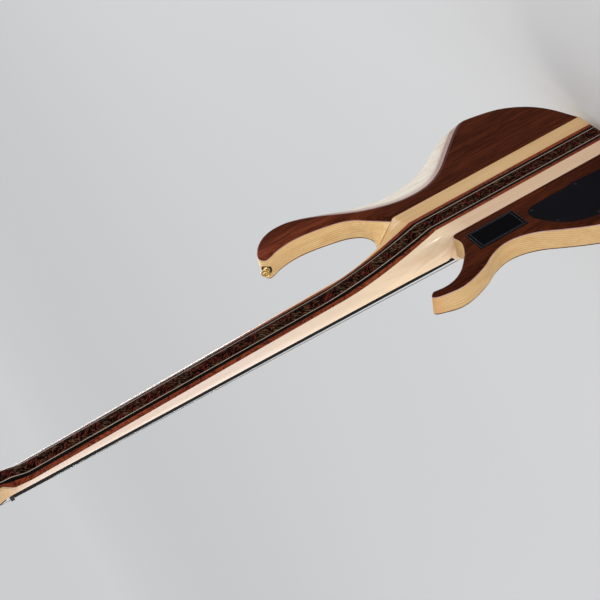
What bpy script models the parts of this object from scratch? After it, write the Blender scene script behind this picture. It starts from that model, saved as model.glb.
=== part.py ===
"""Five-string neck-through electric bass guitar, built piece by piece in metres.

The bass stands upright: the neck runs along +Z with the nut at the origin's height, the front
faces -Y and the back +Y, and the treble side lies at +X. The body's back is the plane y = 0.
"""
import math

import bmesh
import bpy
from mathutils import Matrix, Vector

# Scale, neck and fingerboard
STRING_LENGTH = 0.864
FRETS = 24
NUT_WIDTH = 0.045
LAST_FRET_WIDTH = 0.0685
NUT_LENGTH = 0.005
BOARD_THICKNESS = 0.0069
BOARD_CROWN = 0.0012
BOARD_PAST_LAST_FRET = 0.010
BOARD_SHARES = [1.0, 0.94, 0.45, 0.0, -0.45, -0.94, -1.0]
FRET_HEIGHT = 0.0011
FRET_WIDTH = 0.0026
NECK_DEPTH_FIRST = 0.0119
NECK_DEPTH_TWELFTH = 0.0163
NECK_CURVE_NUT = 1.6
NECK_CURVE_HEEL = 2.3

# Laminations, counted outwards from the centre line
CORE_HALF = 0.0093
LINE_WIDTH = 0.0010
BLACK_WIDTH = 0.0044
RED_WIDTH = 0.0054
MAPLE_WIDTH = 0.0248
GLUE = 0.0003

# Body
BODY_THICKNESS = 0.038
BACK_PLATE = 0.004
TOP_PLATE = 0.004
BACK_ROUND = 0.005
FRONT_ROUND = 0.005
TIP_SHARE = 0.34
TAIL_LENGTH = 0.060
BOARD_RISE = 0.0052

# Heel ramp: where it starts above the tail on each side, and how far it runs
HEEL_BASS = 0.310
HEEL_TREBLE = 0.273
HEEL_RUN = 0.185
HEEL_EDGE_BASS = 0.80
HEEL_EDGE_TREBLE = 0.95
HEEL_SPREAD_BASS = 1.3
HEEL_POWER = 1.9
HEEL_FOOT_BASS = 0.346
HEEL_SETTLE = (0.012, 0.060)
UNDERCUT_HEIGHT = 0.018

# Headstock
HEAD_TILT = math.radians(10)
HEAD_THICKNESS = 0.0165
HEAD_FACE = 0.0018
HEAD_FLARE = 0.004
HEAD_BLEND_START = -0.009
HEAD_BLEND = 0.017
HEAD_LENGTH = 0.1965
HEAD_STATIONS = [0.0030, 0.0065, 0.0100, 0.0115, 0.0140, 0.0180, 0.0240]
VOLUTE_HEIGHT = 0.0085
VOLUTE_LENGTH = 0.034

# Half of the headstock: (x, distance above its start) to the widest part, then (x, distance
# below its end)
HEAD_CHEEK = [(0.0240, 0.004), (0.0285, 0.013), (0.0365, 0.024), (0.0415, 0.037),
              (0.0425, 0.056), (0.0418, 0.096)]
HEAD_CROWN = [(0.0404, 0.0580), (0.0360, 0.0290), (0.0225, 0.0070), (0.0, 0.0)]

# Body outline as (x, height above the tail), heel to tail; the third value says how far the
# back edge is carved down from the front edge
TREBLE_OUTLINE = [
    (0.0615, 0.2712, 0), (0.0803, 0.2795, 0), (0.0946, 0.2907, 0), (0.1089, 0.3048, 0),
    (0.1180, 0.3205, 0), (0.1213, 0.3370, 0), (0.1200, 0.3500, 0.001), (0.1202, 0.3580, 0.003),
    (0.1252, 0.3618, 0.003), (0.1303, 0.3552, 0.002), (0.1335, 0.3395, 0), (0.1355, 0.3200, 0),
    (0.1318, 0.3005, 0), (0.1220, 0.2760, 0), (0.1100, 0.2560, 0), (0.1030, 0.2340, 0),
    (0.1045, 0.2120, 0), (0.1150, 0.1870, 0), (0.1330, 0.1620, 0), (0.1500, 0.1380, 0),
    (0.1620, 0.1160, 0), (0.1680, 0.0860, 0), (0.1645, 0.0560, 0), (0.1490, 0.0310, 0),
    (0.1200, 0.0140, 0), (0.0800, 0.0045, 0),
]
BASS_OUTLINE = [
    (0.0580, 0.3395, 0.016), (0.0715, 0.3400, 0.003), (0.0835, 0.3475, 0), (0.0945, 0.3645, 0),
    (0.1025, 0.3910, 0), (0.1075, 0.4160, 0), (0.1085, 0.4370, 0), (0.1050, 0.4590, 0),
    (0.0995, 0.4720, 0), (0.0985, 0.4810, 0), (0.1070, 0.4855, 0), (0.1190, 0.4825, 0),
    (0.1330, 0.4720, 0), (0.1440, 0.4560, 0), (0.1480, 0.4340, 0), (0.1420, 0.4000, 0),
    (0.1282, 0.3680, 0), (0.1105, 0.3240, 0), (0.1035, 0.2840, 0), (0.1085, 0.2520, 0),
    (0.1180, 0.2230, 0), (0.1325, 0.2005, 0), (0.1485, 0.1770, 0), (0.1595, 0.1540, 0),
    (0.1620, 0.1290, 0), (0.1573, 0.1000, 0), (0.1455, 0.0660, 0), (0.1220, 0.0370, 0),
    (0.0910, 0.0170, 0),
]
OUTLINE_STEPS = 2

# Belly contour: (height above the tail, x where the cut meets the back), and its scoop as
# (distance outwards, depth)
BELLY_EDGE = [
    (0.442, 0.1510), (0.410, 0.1380), (0.380, 0.1205), (0.334, 0.0880), (0.289, 0.0685),
    (0.255, 0.0645), (0.228, 0.0700), (0.204, 0.0845), (0.183, 0.1035), (0.159, 0.1265),
    (0.135, 0.1475), (0.111, 0.1615), (0.080, 0.1700),
]
BELLY_SCOOP = [(0.0, 0.0), (0.006, 0.0032), (0.014, 0.0066), (0.026, 0.0100), (0.060, 0.0150)]

# Battery box and control cover, placed from the centre line and the tail
BOX_X = 0.0765
BOX_LOW = 0.188
BOX_LENGTH = 0.074
BOX_WIDTH = 0.037
BOX_DEPTH = 0.0235
BOX_WALL = 0.0022
BEZEL_PROUD = 0.0008
BEZEL_THICKNESS = 0.0022
LID_WIDTH = 0.0285
LID_LENGTH = 0.0620
LID_THICKNESS = 0.0018
BATTERY = (0.0265, 0.0175, 0.0485)
COVER_OUTLINE = [
    (0.0765, 0.1750), (0.0914, 0.1771), (0.1090, 0.1679), (0.1290, 0.1530), (0.1405, 0.1333),
    (0.1466, 0.1117), (0.1480, 0.0850), (0.1430, 0.0620), (0.1290, 0.0450), (0.1080, 0.0350),
    (0.0880, 0.0330), (0.0730, 0.0420), (0.0700, 0.0620), (0.0685, 0.0880), (0.0674, 0.0960),
    (0.0685, 0.1030), (0.0695, 0.1200), (0.0697, 0.1420), (0.0702, 0.1640),
]
COVER_THICKNESS = 0.002
COVER_LEDGE = 0.005
CAVITY_FLOOR = 0.006

# Hardware
STRING_RADII = [0.00165, 0.00134, 0.00108, 0.00083, 0.00057]
NUT_SPREAD = 0.036
BRIDGE_SPREAD = 0.072
ACTION_NUT = 0.0018
ACTION_SADDLE = 0.0028
PICKUP = (0.1016, 0.0381, 0.0225)
PICKUP_TO_STRING = 0.0035
PICKUP_HEIGHTS = {"neck": 0.224, "bridge": 0.129}
ROUTE_GAP = 0.0006
BRIDGE_LENGTH = 0.060
BRIDGE_AHEAD = 0.018
BRIDGE_PLATE = 0.003
BRIDGE_BLOCK = (0.009, 0.0135)
SADDLE = (0.0150, 0.0120)
SADDLE_TRAVEL = 0.005
STRING_SLOT = (0.0008, 0.0070)
KNOB_PLACES = [(0.098, 0.146), (0.121, 0.118), (0.124, 0.082), (0.103, 0.056)]
KNOB_RADIUS = 0.0095
KNOB_HEIGHT = 0.0160
SHAFT_RADIUS = 0.0030
POT_RADIUS = 0.0082
POT_HEIGHT = 0.0090
RUN = 0.0003
TUNER_BASS = [0.040, 0.086, 0.132]
TUNER_TREBLE = [0.054, 0.102]
TUNER_X = 0.0270
POST_RADIUS = 0.0045
POST_HEIGHT = 0.0200
BUSH_RADIUS = 0.0070
HOUSING = (0.0240, 0.0090, 0.0300)
CASE_ROUND = 0.0018
NUT_FLANGE = (0.0012, 0.0024)
KEY_OFFSET = 0.0085
KEY_RADIUS = 0.0022
KEY_REACH = 0.0240
PADDLE = (0.0140, 0.0070, 0.0240)
JACK_UP = 0.086
JACK_RADIUS = 0.0060
JACK_BORE = 0.0032
JACK_LENGTH = 0.0300
JACK_FLANGE = (0.0110, 0.0020)
BUTTON_RADIUS = 0.0068
BUTTON_NECK = 0.0034
BUTTON_HEIGHT = 0.0110
HORN_BUTTON = (-0.1032, -0.0220, 0.4800)
HORN_BUTTON_TURN = math.radians(52)
ROD = (0.0060, 0.0090)

TAIL = -(STRING_LENGTH + TAIL_LENGTH)
JOINT_Y = -(BODY_THICKNESS + BOARD_RISE)
BOARD_TOP = JOINT_Y - BOARD_THICKNESS
LAST_FRET = -STRING_LENGTH * (1 - 2 ** (-FRETS / 12))
TWELFTH = -STRING_LENGTH / 2
FIRST = -STRING_LENGTH * (1 - 2 ** (-1 / 12))
BOARD_END = LAST_FRET - BOARD_PAST_LAST_FRET
LINE_EDGE = CORE_HALF + LINE_WIDTH
BLACK_EDGE = LINE_EDGE + BLACK_WIDTH
RED_EDGE = BLACK_EDGE + RED_WIDTH
BLOCK_HALF = RED_EDGE + MAPLE_WIDTH
HEAD_START = NUT_LENGTH + 0.001

for old in list(bpy.data.objects):
    bpy.data.objects.remove(old, do_unlink=True)
model = bpy.data.collections.new("bass_guitar")
cutters = bpy.data.collections.new("cutters")
bpy.context.scene.collection.children.link(model)
bpy.context.scene.collection.children.link(cutters)


def paint(name, colour, roughness, metallic=0.0):
    material = bpy.data.materials.new(name)
    material.use_nodes = True
    shader = material.node_tree.nodes["Principled BSDF"]
    shader.inputs["Base Color"].default_value = (*colour, 1)
    shader.inputs["Roughness"].default_value = roughness
    shader.inputs["Metallic"].default_value = metallic
    return material


WENGE = ("wenge", (0.035, 0.018, 0.012), 0.4)
MAPLE = ("maple", (0.74, 0.55, 0.34), 0.35)
RED_WOOD = ("red_wood", (0.24, 0.055, 0.025), 0.4)
BLACK_WOOD = ("black_wood", (0.012, 0.011, 0.010), 0.4)
LIGHT_LINE = ("light_line", (0.62, 0.56, 0.44), 0.4)
ASH = ("ash", (0.70, 0.48, 0.24), 0.45)
WALNUT = ("walnut", (0.085, 0.028, 0.016), 0.42)
GOLD = ("gold", (0.72, 0.48, 0.20), 0.25, 1.0)
STEEL = ("steel", (0.55, 0.54, 0.52), 0.35, 1.0)
BLACK_PLASTIC = ("black_plastic", (0.010, 0.010, 0.013), 0.5)
NUT_BLACK = ("nut_black", (0.03, 0.03, 0.03), 0.4)
BOARD_GREEN = ("circuit_green", (0.02, 0.10, 0.04), 0.5)


def place(name, mesh, finish):
    thing = bpy.data.objects.new(name, mesh)
    thing.data.materials.append(paint(f"{name}_{finish[0]}", *finish[1:]))
    model.objects.link(thing)
    return thing


def hide(name, mesh):
    """Keep a shape as a cutter, out of the model."""
    thing = bpy.data.objects.new(name, mesh)
    thing.hide_render = True
    thing.display_type = "WIRE"
    cutters.objects.link(thing)
    return thing


def finish_mesh(bm, name, angle=40):
    bmesh.ops.recalc_face_normals(bm, faces=bm.faces)
    if bm.calc_volume(signed=True) < 0:
        bmesh.ops.reverse_faces(bm, faces=bm.faces)
    mesh = bpy.data.meshes.new(name)
    bm.to_mesh(mesh)
    bm.free()
    mesh.shade_smooth()
    mesh.set_sharp_from_angle(angle=math.radians(angle))
    return mesh


def loft(name, rings):
    """Join closed rings of equal length by bands, and close both ends."""
    bm = bmesh.new()
    loops = [[bm.verts.new(point) for point in ring] for ring in rings]
    count = len(loops[0])
    for lower, upper in zip(loops, loops[1:]):
        for i in range(count):
            j = (i + 1) % count
            bm.faces.new((lower[i], lower[j], upper[j], upper[i]))
    bm.faces.new(loops[0])
    bm.faces.new(loops[-1])
    return finish_mesh(bm, name)


def prism(name, outline, low_y, high_y):
    """Flat outline of (x, z) points, carried from low_y to high_y."""
    return loft(name, [[(x, y, z) for x, z in outline] for y in (low_y, high_y)])


def block(name, size, centre=(0, 0, 0), round_width=0.0, segments=2):
    bm = bmesh.new()
    bmesh.ops.create_cube(bm, size=1.0)
    bmesh.ops.scale(bm, vec=size, verts=bm.verts)
    if round_width:
        bmesh.ops.bevel(bm, geom=bm.edges[:] + bm.verts[:], offset=round_width,
                        segments=segments, profile=0.5, affect="EDGES")
    bmesh.ops.translate(bm, vec=centre, verts=bm.verts)
    return finish_mesh(bm, name)


def span(name, low, high):
    size = [b - a for a, b in zip(low, high)]
    centre = [(a + b) / 2 for a, b in zip(low, high)]
    return block(name, size, centre)


def axis_matrix(start, direction):
    turn = Vector((0, 0, 1)).rotation_difference(Vector(direction)).to_matrix().to_4x4()
    return Matrix.Translation(Vector(start)) @ turn


def turned(name, profile, start, direction, sides=20):
    """Solid of revolution from (radius, height) pairs along a direction."""
    bm = bmesh.new()
    verts = [bm.verts.new((radius, 0, height)) for radius, height in profile]
    edges = [bm.edges.new(pair) for pair in zip(verts, verts[1:])]
    bmesh.ops.spin(bm, geom=verts + edges, cent=(0, 0, 0), axis=(0, 0, 1),
                   angle=2 * math.pi, steps=sides, use_merge=True)
    bmesh.ops.remove_doubles(bm, verts=bm.verts, dist=1e-6)
    bm.transform(axis_matrix(start, direction))
    return finish_mesh(bm, name)


def rod(name, radius, start, direction, length, sides=16):
    bm = bmesh.new()
    bmesh.ops.create_cone(bm, cap_ends=True, segments=sides, radius1=radius, radius2=radius,
                          depth=length, matrix=Matrix.Translation((0, 0, length / 2)))
    bm.transform(axis_matrix(start, direction))
    return finish_mesh(bm, name)


def boolean(target, tool, operation):
    step = target.modifiers.new(tool.name, "BOOLEAN")
    step.object = tool
    step.operation = operation
    step.solver = "EXACT"


def cut(target, *tools):
    for tool in tools:
        boolean(target, tool, "DIFFERENCE")


def smooth(value):
    value = min(1.0, max(0.0, value))
    return value * value * (3 - 2 * value)


def mix(a, b, share):
    return a + (b - a) * share


def curve_through(points, steps, closed=False):
    """Points on a smooth curve through the given ones, with steps to each stretch."""
    vectors = [Vector(point) for point in points]
    count = len(vectors)
    stretches = count if closed else count - 1
    result = []
    for i in range(stretches):
        if closed:
            a, b, c, d = (vectors[(i + k) % count] for k in (-1, 0, 1, 2))
        else:
            b, c = vectors[i], vectors[i + 1]
            a = vectors[i - 1] if i else b + (b - c)
            d = vectors[i + 2] if i + 2 < count else c + (c - b)
        for k in range(steps):
            t = k / steps
            result.append(0.5 * (2 * b + (c - a) * t + (2 * a - 5 * b + 4 * c - d) * t * t
                                 + (3 * b - a - 3 * c + d) * t ** 3))
    if not closed:
        result.append(vectors[-1])
    return result


# Neck-through laminations
def half_width(z):
    return mix(NUT_WIDTH, LAST_FRET_WIDTH, z / LAST_FRET) / 2


def front_y(z):
    if z > HEAD_START:
        return JOINT_Y + (z - HEAD_START) * math.tan(HEAD_TILT)
    return JOINT_Y


def neck_depth(z):
    depth = mix(NECK_DEPTH_FIRST, NECK_DEPTH_TWELFTH, (z - FIRST) / (TWELFTH - FIRST))
    return depth + VOLUTE_HEIGHT * smooth((z + VOLUTE_LENGTH) / VOLUTE_LENGTH)


def ramp_start(x):
    return TAIL + mix(HEEL_BASS, HEEL_TREBLE, (x + BLOCK_HALF) / (2 * BLOCK_HALF))


def ramp_run(x):
    if x < 0:
        return HEEL_RUN * (1 - HEEL_EDGE_BASS * abs(x / BLOCK_HALF) ** HEEL_SPREAD_BASS)
    return HEEL_RUN * (1 - HEEL_EDGE_TREBLE * (x / BLOCK_HALF) ** 2)


def ramp_share(x, z):
    distance = z - ramp_start(x)
    run = ramp_run(x)
    if distance <= 0:
        return 1.0
    if distance >= run:
        return 0.0
    power = mix(HEEL_POWER, 1.0, (x / BLOCK_HALF) ** 2)
    return (1 - distance / run) ** power


def back_y(x, z):
    """Height of the neck's back at x, from the body's back plane over the heel to the volute."""
    width = half_width(z)
    power = mix(NECK_CURVE_NUT, NECK_CURVE_HEEL, z / LAST_FRET)
    inside = max(0.0, 1 - abs(x / width) ** power)
    neck = JOINT_Y + neck_depth(min(z, 0)) * inside ** (1 / power)
    if z > HEAD_BLEND_START:
        slope = (z - HEAD_START) * math.tan(HEAD_TILT)
        head = JOINT_Y + HEAD_THICKNESS / math.cos(HEAD_TILT) + slope
        return mix(neck, head, smooth((z - HEAD_BLEND_START) / HEAD_BLEND))
    return neck * (1 - ramp_share(x, z))


def side_reach(side, z):
    """How far out the wood reaches at this height, and how far at the front edge."""
    width = half_width(z)
    cheek = HEAD_START + HEAD_CHEEK[0][1]
    if z > cheek:
        reach = mix(HEAD_CHEEK[0][0], BLOCK_HALF, min(1.0, (z - cheek) / HEAD_FLARE))
        return reach, reach
    if z > 0:
        reach = mix(width, HEAD_CHEEK[0][0], smooth(z / cheek))
        return reach, reach
    foot = TAIL + (HEEL_FOOT_BASS if side < 0 else HEEL_TREBLE)
    if z <= foot:
        return BLOCK_HALF, BLOCK_HALF
    reach = width
    for i in range(41):
        x = side * mix(width, BLOCK_HALF, i / 40)
        if ramp_share(x, z) > 0.02:
            reach = abs(x)
    settle = smooth((z - foot) / HEEL_SETTLE[0])
    reach = mix(reach, width, smooth((z - foot) / HEEL_SETTLE[1]) if side < 0 else 0)
    return reach, mix(BLOCK_HALF if side < 0 else width, width, settle)


def inner_ring(low, high, z, front, top=None):
    columns = 4 if high - low > 0.01 else 2
    ring = [(low, front, z), (high, front, z)]
    for i in range(columns):
        x = mix(high, low, i / (columns - 1))
        ring.append((x, back_y(x, z) if top is None else top, z))
    return ring


def outer_ring(side, inner, z, front, top=None):
    """Section of the outermost lamination, whose outer side is the neck's own shape."""
    samples = 9
    reach, foot = side_reach(side, z)
    base = JOINT_Y if z <= 0 else front_y(z)
    ring = [(side * inner, front, z)]
    for i in range(samples):
        x = mix(inner, reach, math.sin(math.pi / 2 * i / (samples - 1)))
        y = back_y(side * x, z) if top is None else top
        y = max(y, base + 0.0006)
        if x > foot:
            x = mix(foot, x, min(1.0, (y - base) / UNDERCUT_HEIGHT) ** 0.5)
        ring.append((side * x, y, z))
    ring.append((side * foot, front, z))
    return ring if side > 0 else ring[::-1]


def stations():
    """Heights where the neck's section is drawn, with the front plane and the back's inset."""
    round_steps = [0, 1, 2, 3]
    result = []
    for k in round_steps:
        angle = math.pi / 2 * k / round_steps[-1]
        inset = BACK_ROUND * (1 - math.sin(angle))
        height = BACK_ROUND * (1 - math.cos(angle))
        result.append((TAIL + height, -BODY_THICKNESS + inset, -inset))
    result.append((BOARD_END - GLUE, -BODY_THICKNESS, None))
    result.append((BOARD_END, JOINT_Y, None))
    heel = [0.273, 0.2755, 0.280, 0.288, 0.297, 0.307, 0.317, 0.327, 0.337, 0.346, 0.352,
            0.360, 0.372, 0.386, 0.402, 0.420, 0.442, 0.466]
    result += [(TAIL + up, JOINT_Y, None) for up in heel if TAIL + up > BOARD_END + GLUE]
    neck = [0.80, 0.60, 0.40, 0.20]
    result += [(share * (TAIL + heel[-1]), JOINT_Y, None) for share in neck]
    volute = [1.0, 0.82, 0.64, 0.48, 0.34, 0.24, 0.14, 0.07, 0.0]
    result += [(-share * VOLUTE_LENGTH, JOINT_Y, None) for share in volute]
    result += [(z, front_y(z), None) for z in HEAD_STATIONS]
    top = HEAD_LENGTH + 0.02
    result.append((top, front_y(top), None))
    return result


def lamination(name, low, high, finish, side=0):
    rings = []
    for z, front, top in stations():
        if side:
            rings.append(outer_ring(side, low, z, front, top))
        else:
            rings.append(inner_ring(low, high, z, front, top))
    return place(name, loft(name, rings), finish)


SIDES = {"bass": -1, "treble": 1}
strips = {"core": lamination("neck_core", -CORE_HALF + GLUE / 2, CORE_HALF - GLUE / 2, WENGE)}
LAYERS = [("line", CORE_HALF, LINE_EDGE, LIGHT_LINE), ("black", LINE_EDGE, BLACK_EDGE, BLACK_WOOD),
          ("red", BLACK_EDGE, RED_EDGE, RED_WOOD)]
for side_name, side in SIDES.items():
    for layer, inner, outer, finish in LAYERS:
        edges = sorted((side * (inner + GLUE / 2), side * (outer - GLUE / 2)))
        key = f"{layer}_{side_name}"
        strips[key] = lamination(f"neck_{key}", *edges, finish)
    strips[f"maple_{side_name}"] = lamination(
        f"neck_maple_{side_name}", RED_EDGE + GLUE / 2, BLOCK_HALF, MAPLE, side)

# Headstock: everything on it hangs from a frame tilted back at the nut
head_frame = bpy.data.objects.new("headstock_frame", None)
head_frame.location = (0, JOINT_Y, HEAD_START)
head_frame.rotation_euler = (-HEAD_TILT, 0, 0)
model.objects.link(head_frame)
bpy.context.view_layer.update()

def head_outline(inset=0.0):
    """Outline of the headstock in its own frame, bass corner to treble corner."""
    points = HEAD_CHEEK + [(x, HEAD_LENGTH - drop) for x, drop in HEAD_CROWN]
    half = [p.to_tuple() for p in curve_through(points, 2)]
    left = [(-max(x - inset, 0.0), up - inset * (up > 0.15)) for x, up in half]
    return left + [(-x, up) for x, up in left[-2::-1]]


def on_head(thing):
    thing.parent = head_frame
    return thing


reach_up = HEAD_LENGTH + 0.04
wide = BLOCK_HALF + 0.03
foot_up = HEAD_CHEEK[0][1]
notch = [(-wide, foot_up)] + head_outline()
notch += [(wide, foot_up), (wide, reach_up), (-wide, reach_up)]
head_trim = on_head(hide("headstock_trim", prism("headstock_trim", notch, -0.03, 0.06)))
for strip in strips.values():
    cut(strip, head_trim)

face_outline = [(x, up) for x, up in head_outline(0.0002)]
face = on_head(place("headstock_face", prism(
    "headstock_face", face_outline, -HEAD_FACE - GLUE, -GLUE), WALNUT))

tuner_places = [(-1, up) for up in TUNER_BASS] + [(1, up) for up in TUNER_TREBLE]
TUNER_NAMES = ["string5", "string4", "string3", "string1", "string2"]
for (side, up), name in zip(tuner_places, TUNER_NAMES):
    centre = (side * TUNER_X, 0, up)
    hole = on_head(hide(f"tuner_hole_{name}", rod(
        f"tuner_hole_{name}", BUSH_RADIUS + GLUE, (centre[0], -0.01, up), (0, 1, 0), 0.04, 14)))
    cut(strips["maple_bass" if side < 0 else "maple_treble"], hole)
    cut(face, hole)

    # Housing: gear case on the back, bush through the wood, nut on the face
    back = HEAD_THICKNESS + GLUE
    bush_top = -HEAD_FACE - 2 * GLUE
    case_depth = HOUSING[1]
    case = block(f"tuner_case_{name}", HOUSING, (centre[0], back + case_depth / 2, up),
                 CASE_ROUND, 2)
    housing = on_head(place(f"tuner_housing_{name}", case, GOLD))
    bush_length = back - bush_top
    bush = on_head(hide(f"tuner_bush_{name}", turned(
        f"tuner_bush_{name}", [(0, -0.002), (BUSH_RADIUS, -0.002), (BUSH_RADIUS, bush_length),
                               (BUSH_RADIUS + NUT_FLANGE[0], bush_length),
                               (BUSH_RADIUS + NUT_FLANGE[0], bush_length + NUT_FLANGE[1] / 2),
                               (BUSH_RADIUS, bush_length + NUT_FLANGE[1]),
                               (0, bush_length + NUT_FLANGE[1])],
        (centre[0], back, up), (0, -1, 0), 14)))
    boolean(housing, bush, "UNION")
    post_foot = back + case_depth * 0.45
    post_bore = on_head(hide(f"tuner_post_bore_{name}", rod(
        f"tuner_post_bore_{name}", POST_RADIUS + RUN, (centre[0], post_foot + RUN, up),
        (0, -1, 0), 0.05, 12)))
    key_y = back + case_depth * 0.5
    key_up = up - KEY_OFFSET
    key_bore = on_head(hide(f"tuner_key_bore_{name}", rod(
        f"tuner_key_bore_{name}", KEY_RADIUS + RUN, (centre[0] - side * 0.006, key_y, key_up),
        (side, 0, 0), 2 * HOUSING[0], 10)))
    cut(housing, post_bore, key_bore)

    # Post: stepped shaft with a waist where the string winds
    length = post_foot - bush_top + POST_HEIGHT
    waist = length - 0.011
    on_head(place(f"tuner_post_{name}", turned(
        f"tuner_post_{name}", [(0, 0), (POST_RADIUS, 0), (POST_RADIUS, waist - 0.004),
                               (POST_RADIUS - 0.0008, waist), (POST_RADIUS - 0.0008, waist + 0.005),
                               (POST_RADIUS, length - 0.002), (POST_RADIUS - 0.001, length),
                               (0, length)],
        (centre[0], post_foot, up), (0, -1, 0), 12), GOLD))

    # Key: worm shaft with a two-lobed paddle
    shaft_start = (centre[0] - side * (0.006 - RUN), key_y, key_up)
    key = on_head(place(f"tuner_key_{name}", rod(
        f"tuner_key_{name}", KEY_RADIUS, shaft_start, (side, 0, 0), KEY_REACH, 10), GOLD))
    paddle_x = shaft_start[0] + side * (KEY_REACH + PADDLE[0] / 2 - 0.002)
    paddle = on_head(hide(f"tuner_paddle_{name}", block(
        f"tuner_paddle_{name}", PADDLE, (paddle_x, key_y, key_up), 0.0028, 2)))
    boolean(key, paddle, "UNION")

# Fingerboard with its frets, lofted from the nut to past the last fret
board_stations = [(-GLUE, 0.0)]
for n in range(1, FRETS + 1):
    fret = -STRING_LENGTH * (1 - 2 ** (-n / 12))
    board_stations += [(fret + FRET_WIDTH / 2, 0.0), (fret, FRET_HEIGHT),
                       (fret - FRET_WIDTH / 2, 0.0)]
board_stations.append((BOARD_END, 0.0))


def board_ring(z, lift):
    width = half_width(z)
    ring = [(-width, JOINT_Y - GLUE, z), (width, JOINT_Y - GLUE, z)]
    for share in BOARD_SHARES:
        crown = BOARD_CROWN * (1 - share ** 2)
        bump = lift if abs(share) < 1 else 0.0
        ring.append((share * width, BOARD_TOP + BOARD_CROWN - crown - bump, z))
    return ring


place("fingerboard", loft("fingerboard", [board_ring(z, lift) for z, lift in board_stations]),
      BLACK_WOOD)
nut_low = (-NUT_WIDTH / 2, BOARD_TOP - ACTION_NUT, 0.0)
place("nut", span("nut", nut_low, (NUT_WIDTH / 2, JOINT_Y - GLUE, NUT_LENGTH)),
      NUT_BLACK)

# Truss rod in its channel under the fingerboard
rod_top = 0.004
rod_low = BOARD_END + 0.03
channel = hide("truss_channel", span(
    "truss_channel", (-ROD[0] / 2 - RUN, JOINT_Y - 0.01, rod_low - RUN),
    (ROD[0] / 2 + RUN, JOINT_Y + ROD[1] + RUN, HEAD_START + 0.022)))
cut(strips["core"], channel)
place("truss_rod", span("truss_rod", (-ROD[0] / 2, JOINT_Y + RUN, rod_low),
                        (ROD[0] / 2, JOINT_Y + ROD[1], rod_top)), STEEL)
truss_mouth = on_head(hide("truss_mouth", span(
    "truss_mouth", (-ROD[0] / 2 - RUN, -0.01, -0.01), (ROD[0] / 2 + RUN, 0.01, 0.022))))
cut(face, truss_mouth)
cover_half = 0.0085
cover_points = [(-cover_half, 0.0015), (cover_half, 0.0015), (cover_half, 0.024), (0, 0.036),
                (-cover_half, 0.024)]
on_head(place("truss_rod_cover", prism(
    "truss_rod_cover", cover_points, -HEAD_FACE - 2 * GLUE - 0.0015, -HEAD_FACE - 2 * GLUE),
    BLACK_PLASTIC))


# Body wings: each is a top plate, an ash core and a walnut back plate
def round_inset(depth, radius):
    if depth >= radius:
        return 0.0
    return radius - math.sqrt(radius ** 2 - (radius - depth) ** 2)


def wing_outline(side):
    joint = BLOCK_HALF + GLUE
    if side > 0:
        points = [(joint, HEEL_TREBLE, 0)] + TREBLE_OUTLINE + [(joint, 0.0005, 0)]
    else:
        points = [(joint, HEEL_FOOT_BASS, HEEL_FOOT_BASS - HEEL_BASS)] + BASS_OUTLINE
        points.append((joint, 0.0005, 0))
    return curve_through(points, OUTLINE_STEPS)


def width_at(points, i):
    """Distance from a point of the outline to the other side of the wood."""
    return min((points[i] - other).length for k, other in enumerate(points)
               if abs(i - k) >= 2 * OUTLINE_STEPS)


def wing_ring(side, y):
    joint = BLOCK_HALF + GLUE
    points = wing_outline(side)
    inset = max(round_inset(-y, BACK_ROUND), round_inset(y + BODY_THICKNESS, FRONT_ROUND))
    back_share = 1 + y / BODY_THICKNESS
    flat = [Vector((p.x, p.y - p.z * back_share)) for p in points]
    ring = []
    for i, point in enumerate(flat):
        before = flat[i - 1] if i else point
        after = flat[i + 1] if i + 1 < len(flat) else point
        along = (after - before).normalized()
        room = min(1.0, TIP_SHARE * width_at(flat, i) / FRONT_ROUND)
        normal = Vector((-along.y, along.x)) * inset * room
        x = point.x - normal.x
        z = point.y - normal.y
        if i in (0, len(flat) - 1):
            x = joint
        ring.append((side * max(x, joint), y, TAIL + z))
    return ring if side > 0 else ring[::-1]


def levels(low, high):
    """Heights where the wing's section is drawn: the ends and the rounded edges' steps."""
    marks = {low, high}
    for share in (0.0, 0.1, 0.35, 0.65, 1.0):
        for y in (-BACK_ROUND * share, -BODY_THICKNESS + FRONT_ROUND * share):
            if low + 0.0004 < y < high - 0.0004:
                marks.add(y)
    return sorted(marks)


def wing_layer(name, side, low, high, finish):
    rings = [wing_ring(side, y) for y in levels(low, high)]
    return place(name, loft(name, rings), finish)


wings = {}
for side_name, side in SIDES.items():
    wings[side_name] = {
        "top": wing_layer(f"body_top_{side_name}", side, -BODY_THICKNESS,
                          -BODY_THICKNESS + TOP_PLATE, WALNUT),
        "core": wing_layer(f"body_ash_{side_name}", side, -BODY_THICKNESS + TOP_PLATE + GLUE,
                           -BACK_PLATE - GLUE, ASH),
        "back": wing_layer(f"body_back_{side_name}", side, -BACK_PLATE, 0.0, WALNUT),
    }

# Belly contour scooped out of the bass wing's back
belly_rings = []
for up, x in (p.to_tuple() for p in curve_through(BELLY_EDGE, 2)):
    z = TAIL + up
    ring = [(-x - out, -depth, z) for out, depth in BELLY_SCOOP]
    last = BELLY_SCOOP[-1][0]
    ring += [(-x - last, 0.03, z), (-x + 0.004, 0.03, z), (-x + 0.004, 0.0022, z)]
    belly_rings.append(ring)
belly = hide("belly_contour", loft("belly_contour", belly_rings))
cut(wings["bass"]["core"], belly)
cut(wings["bass"]["back"], belly)

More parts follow.
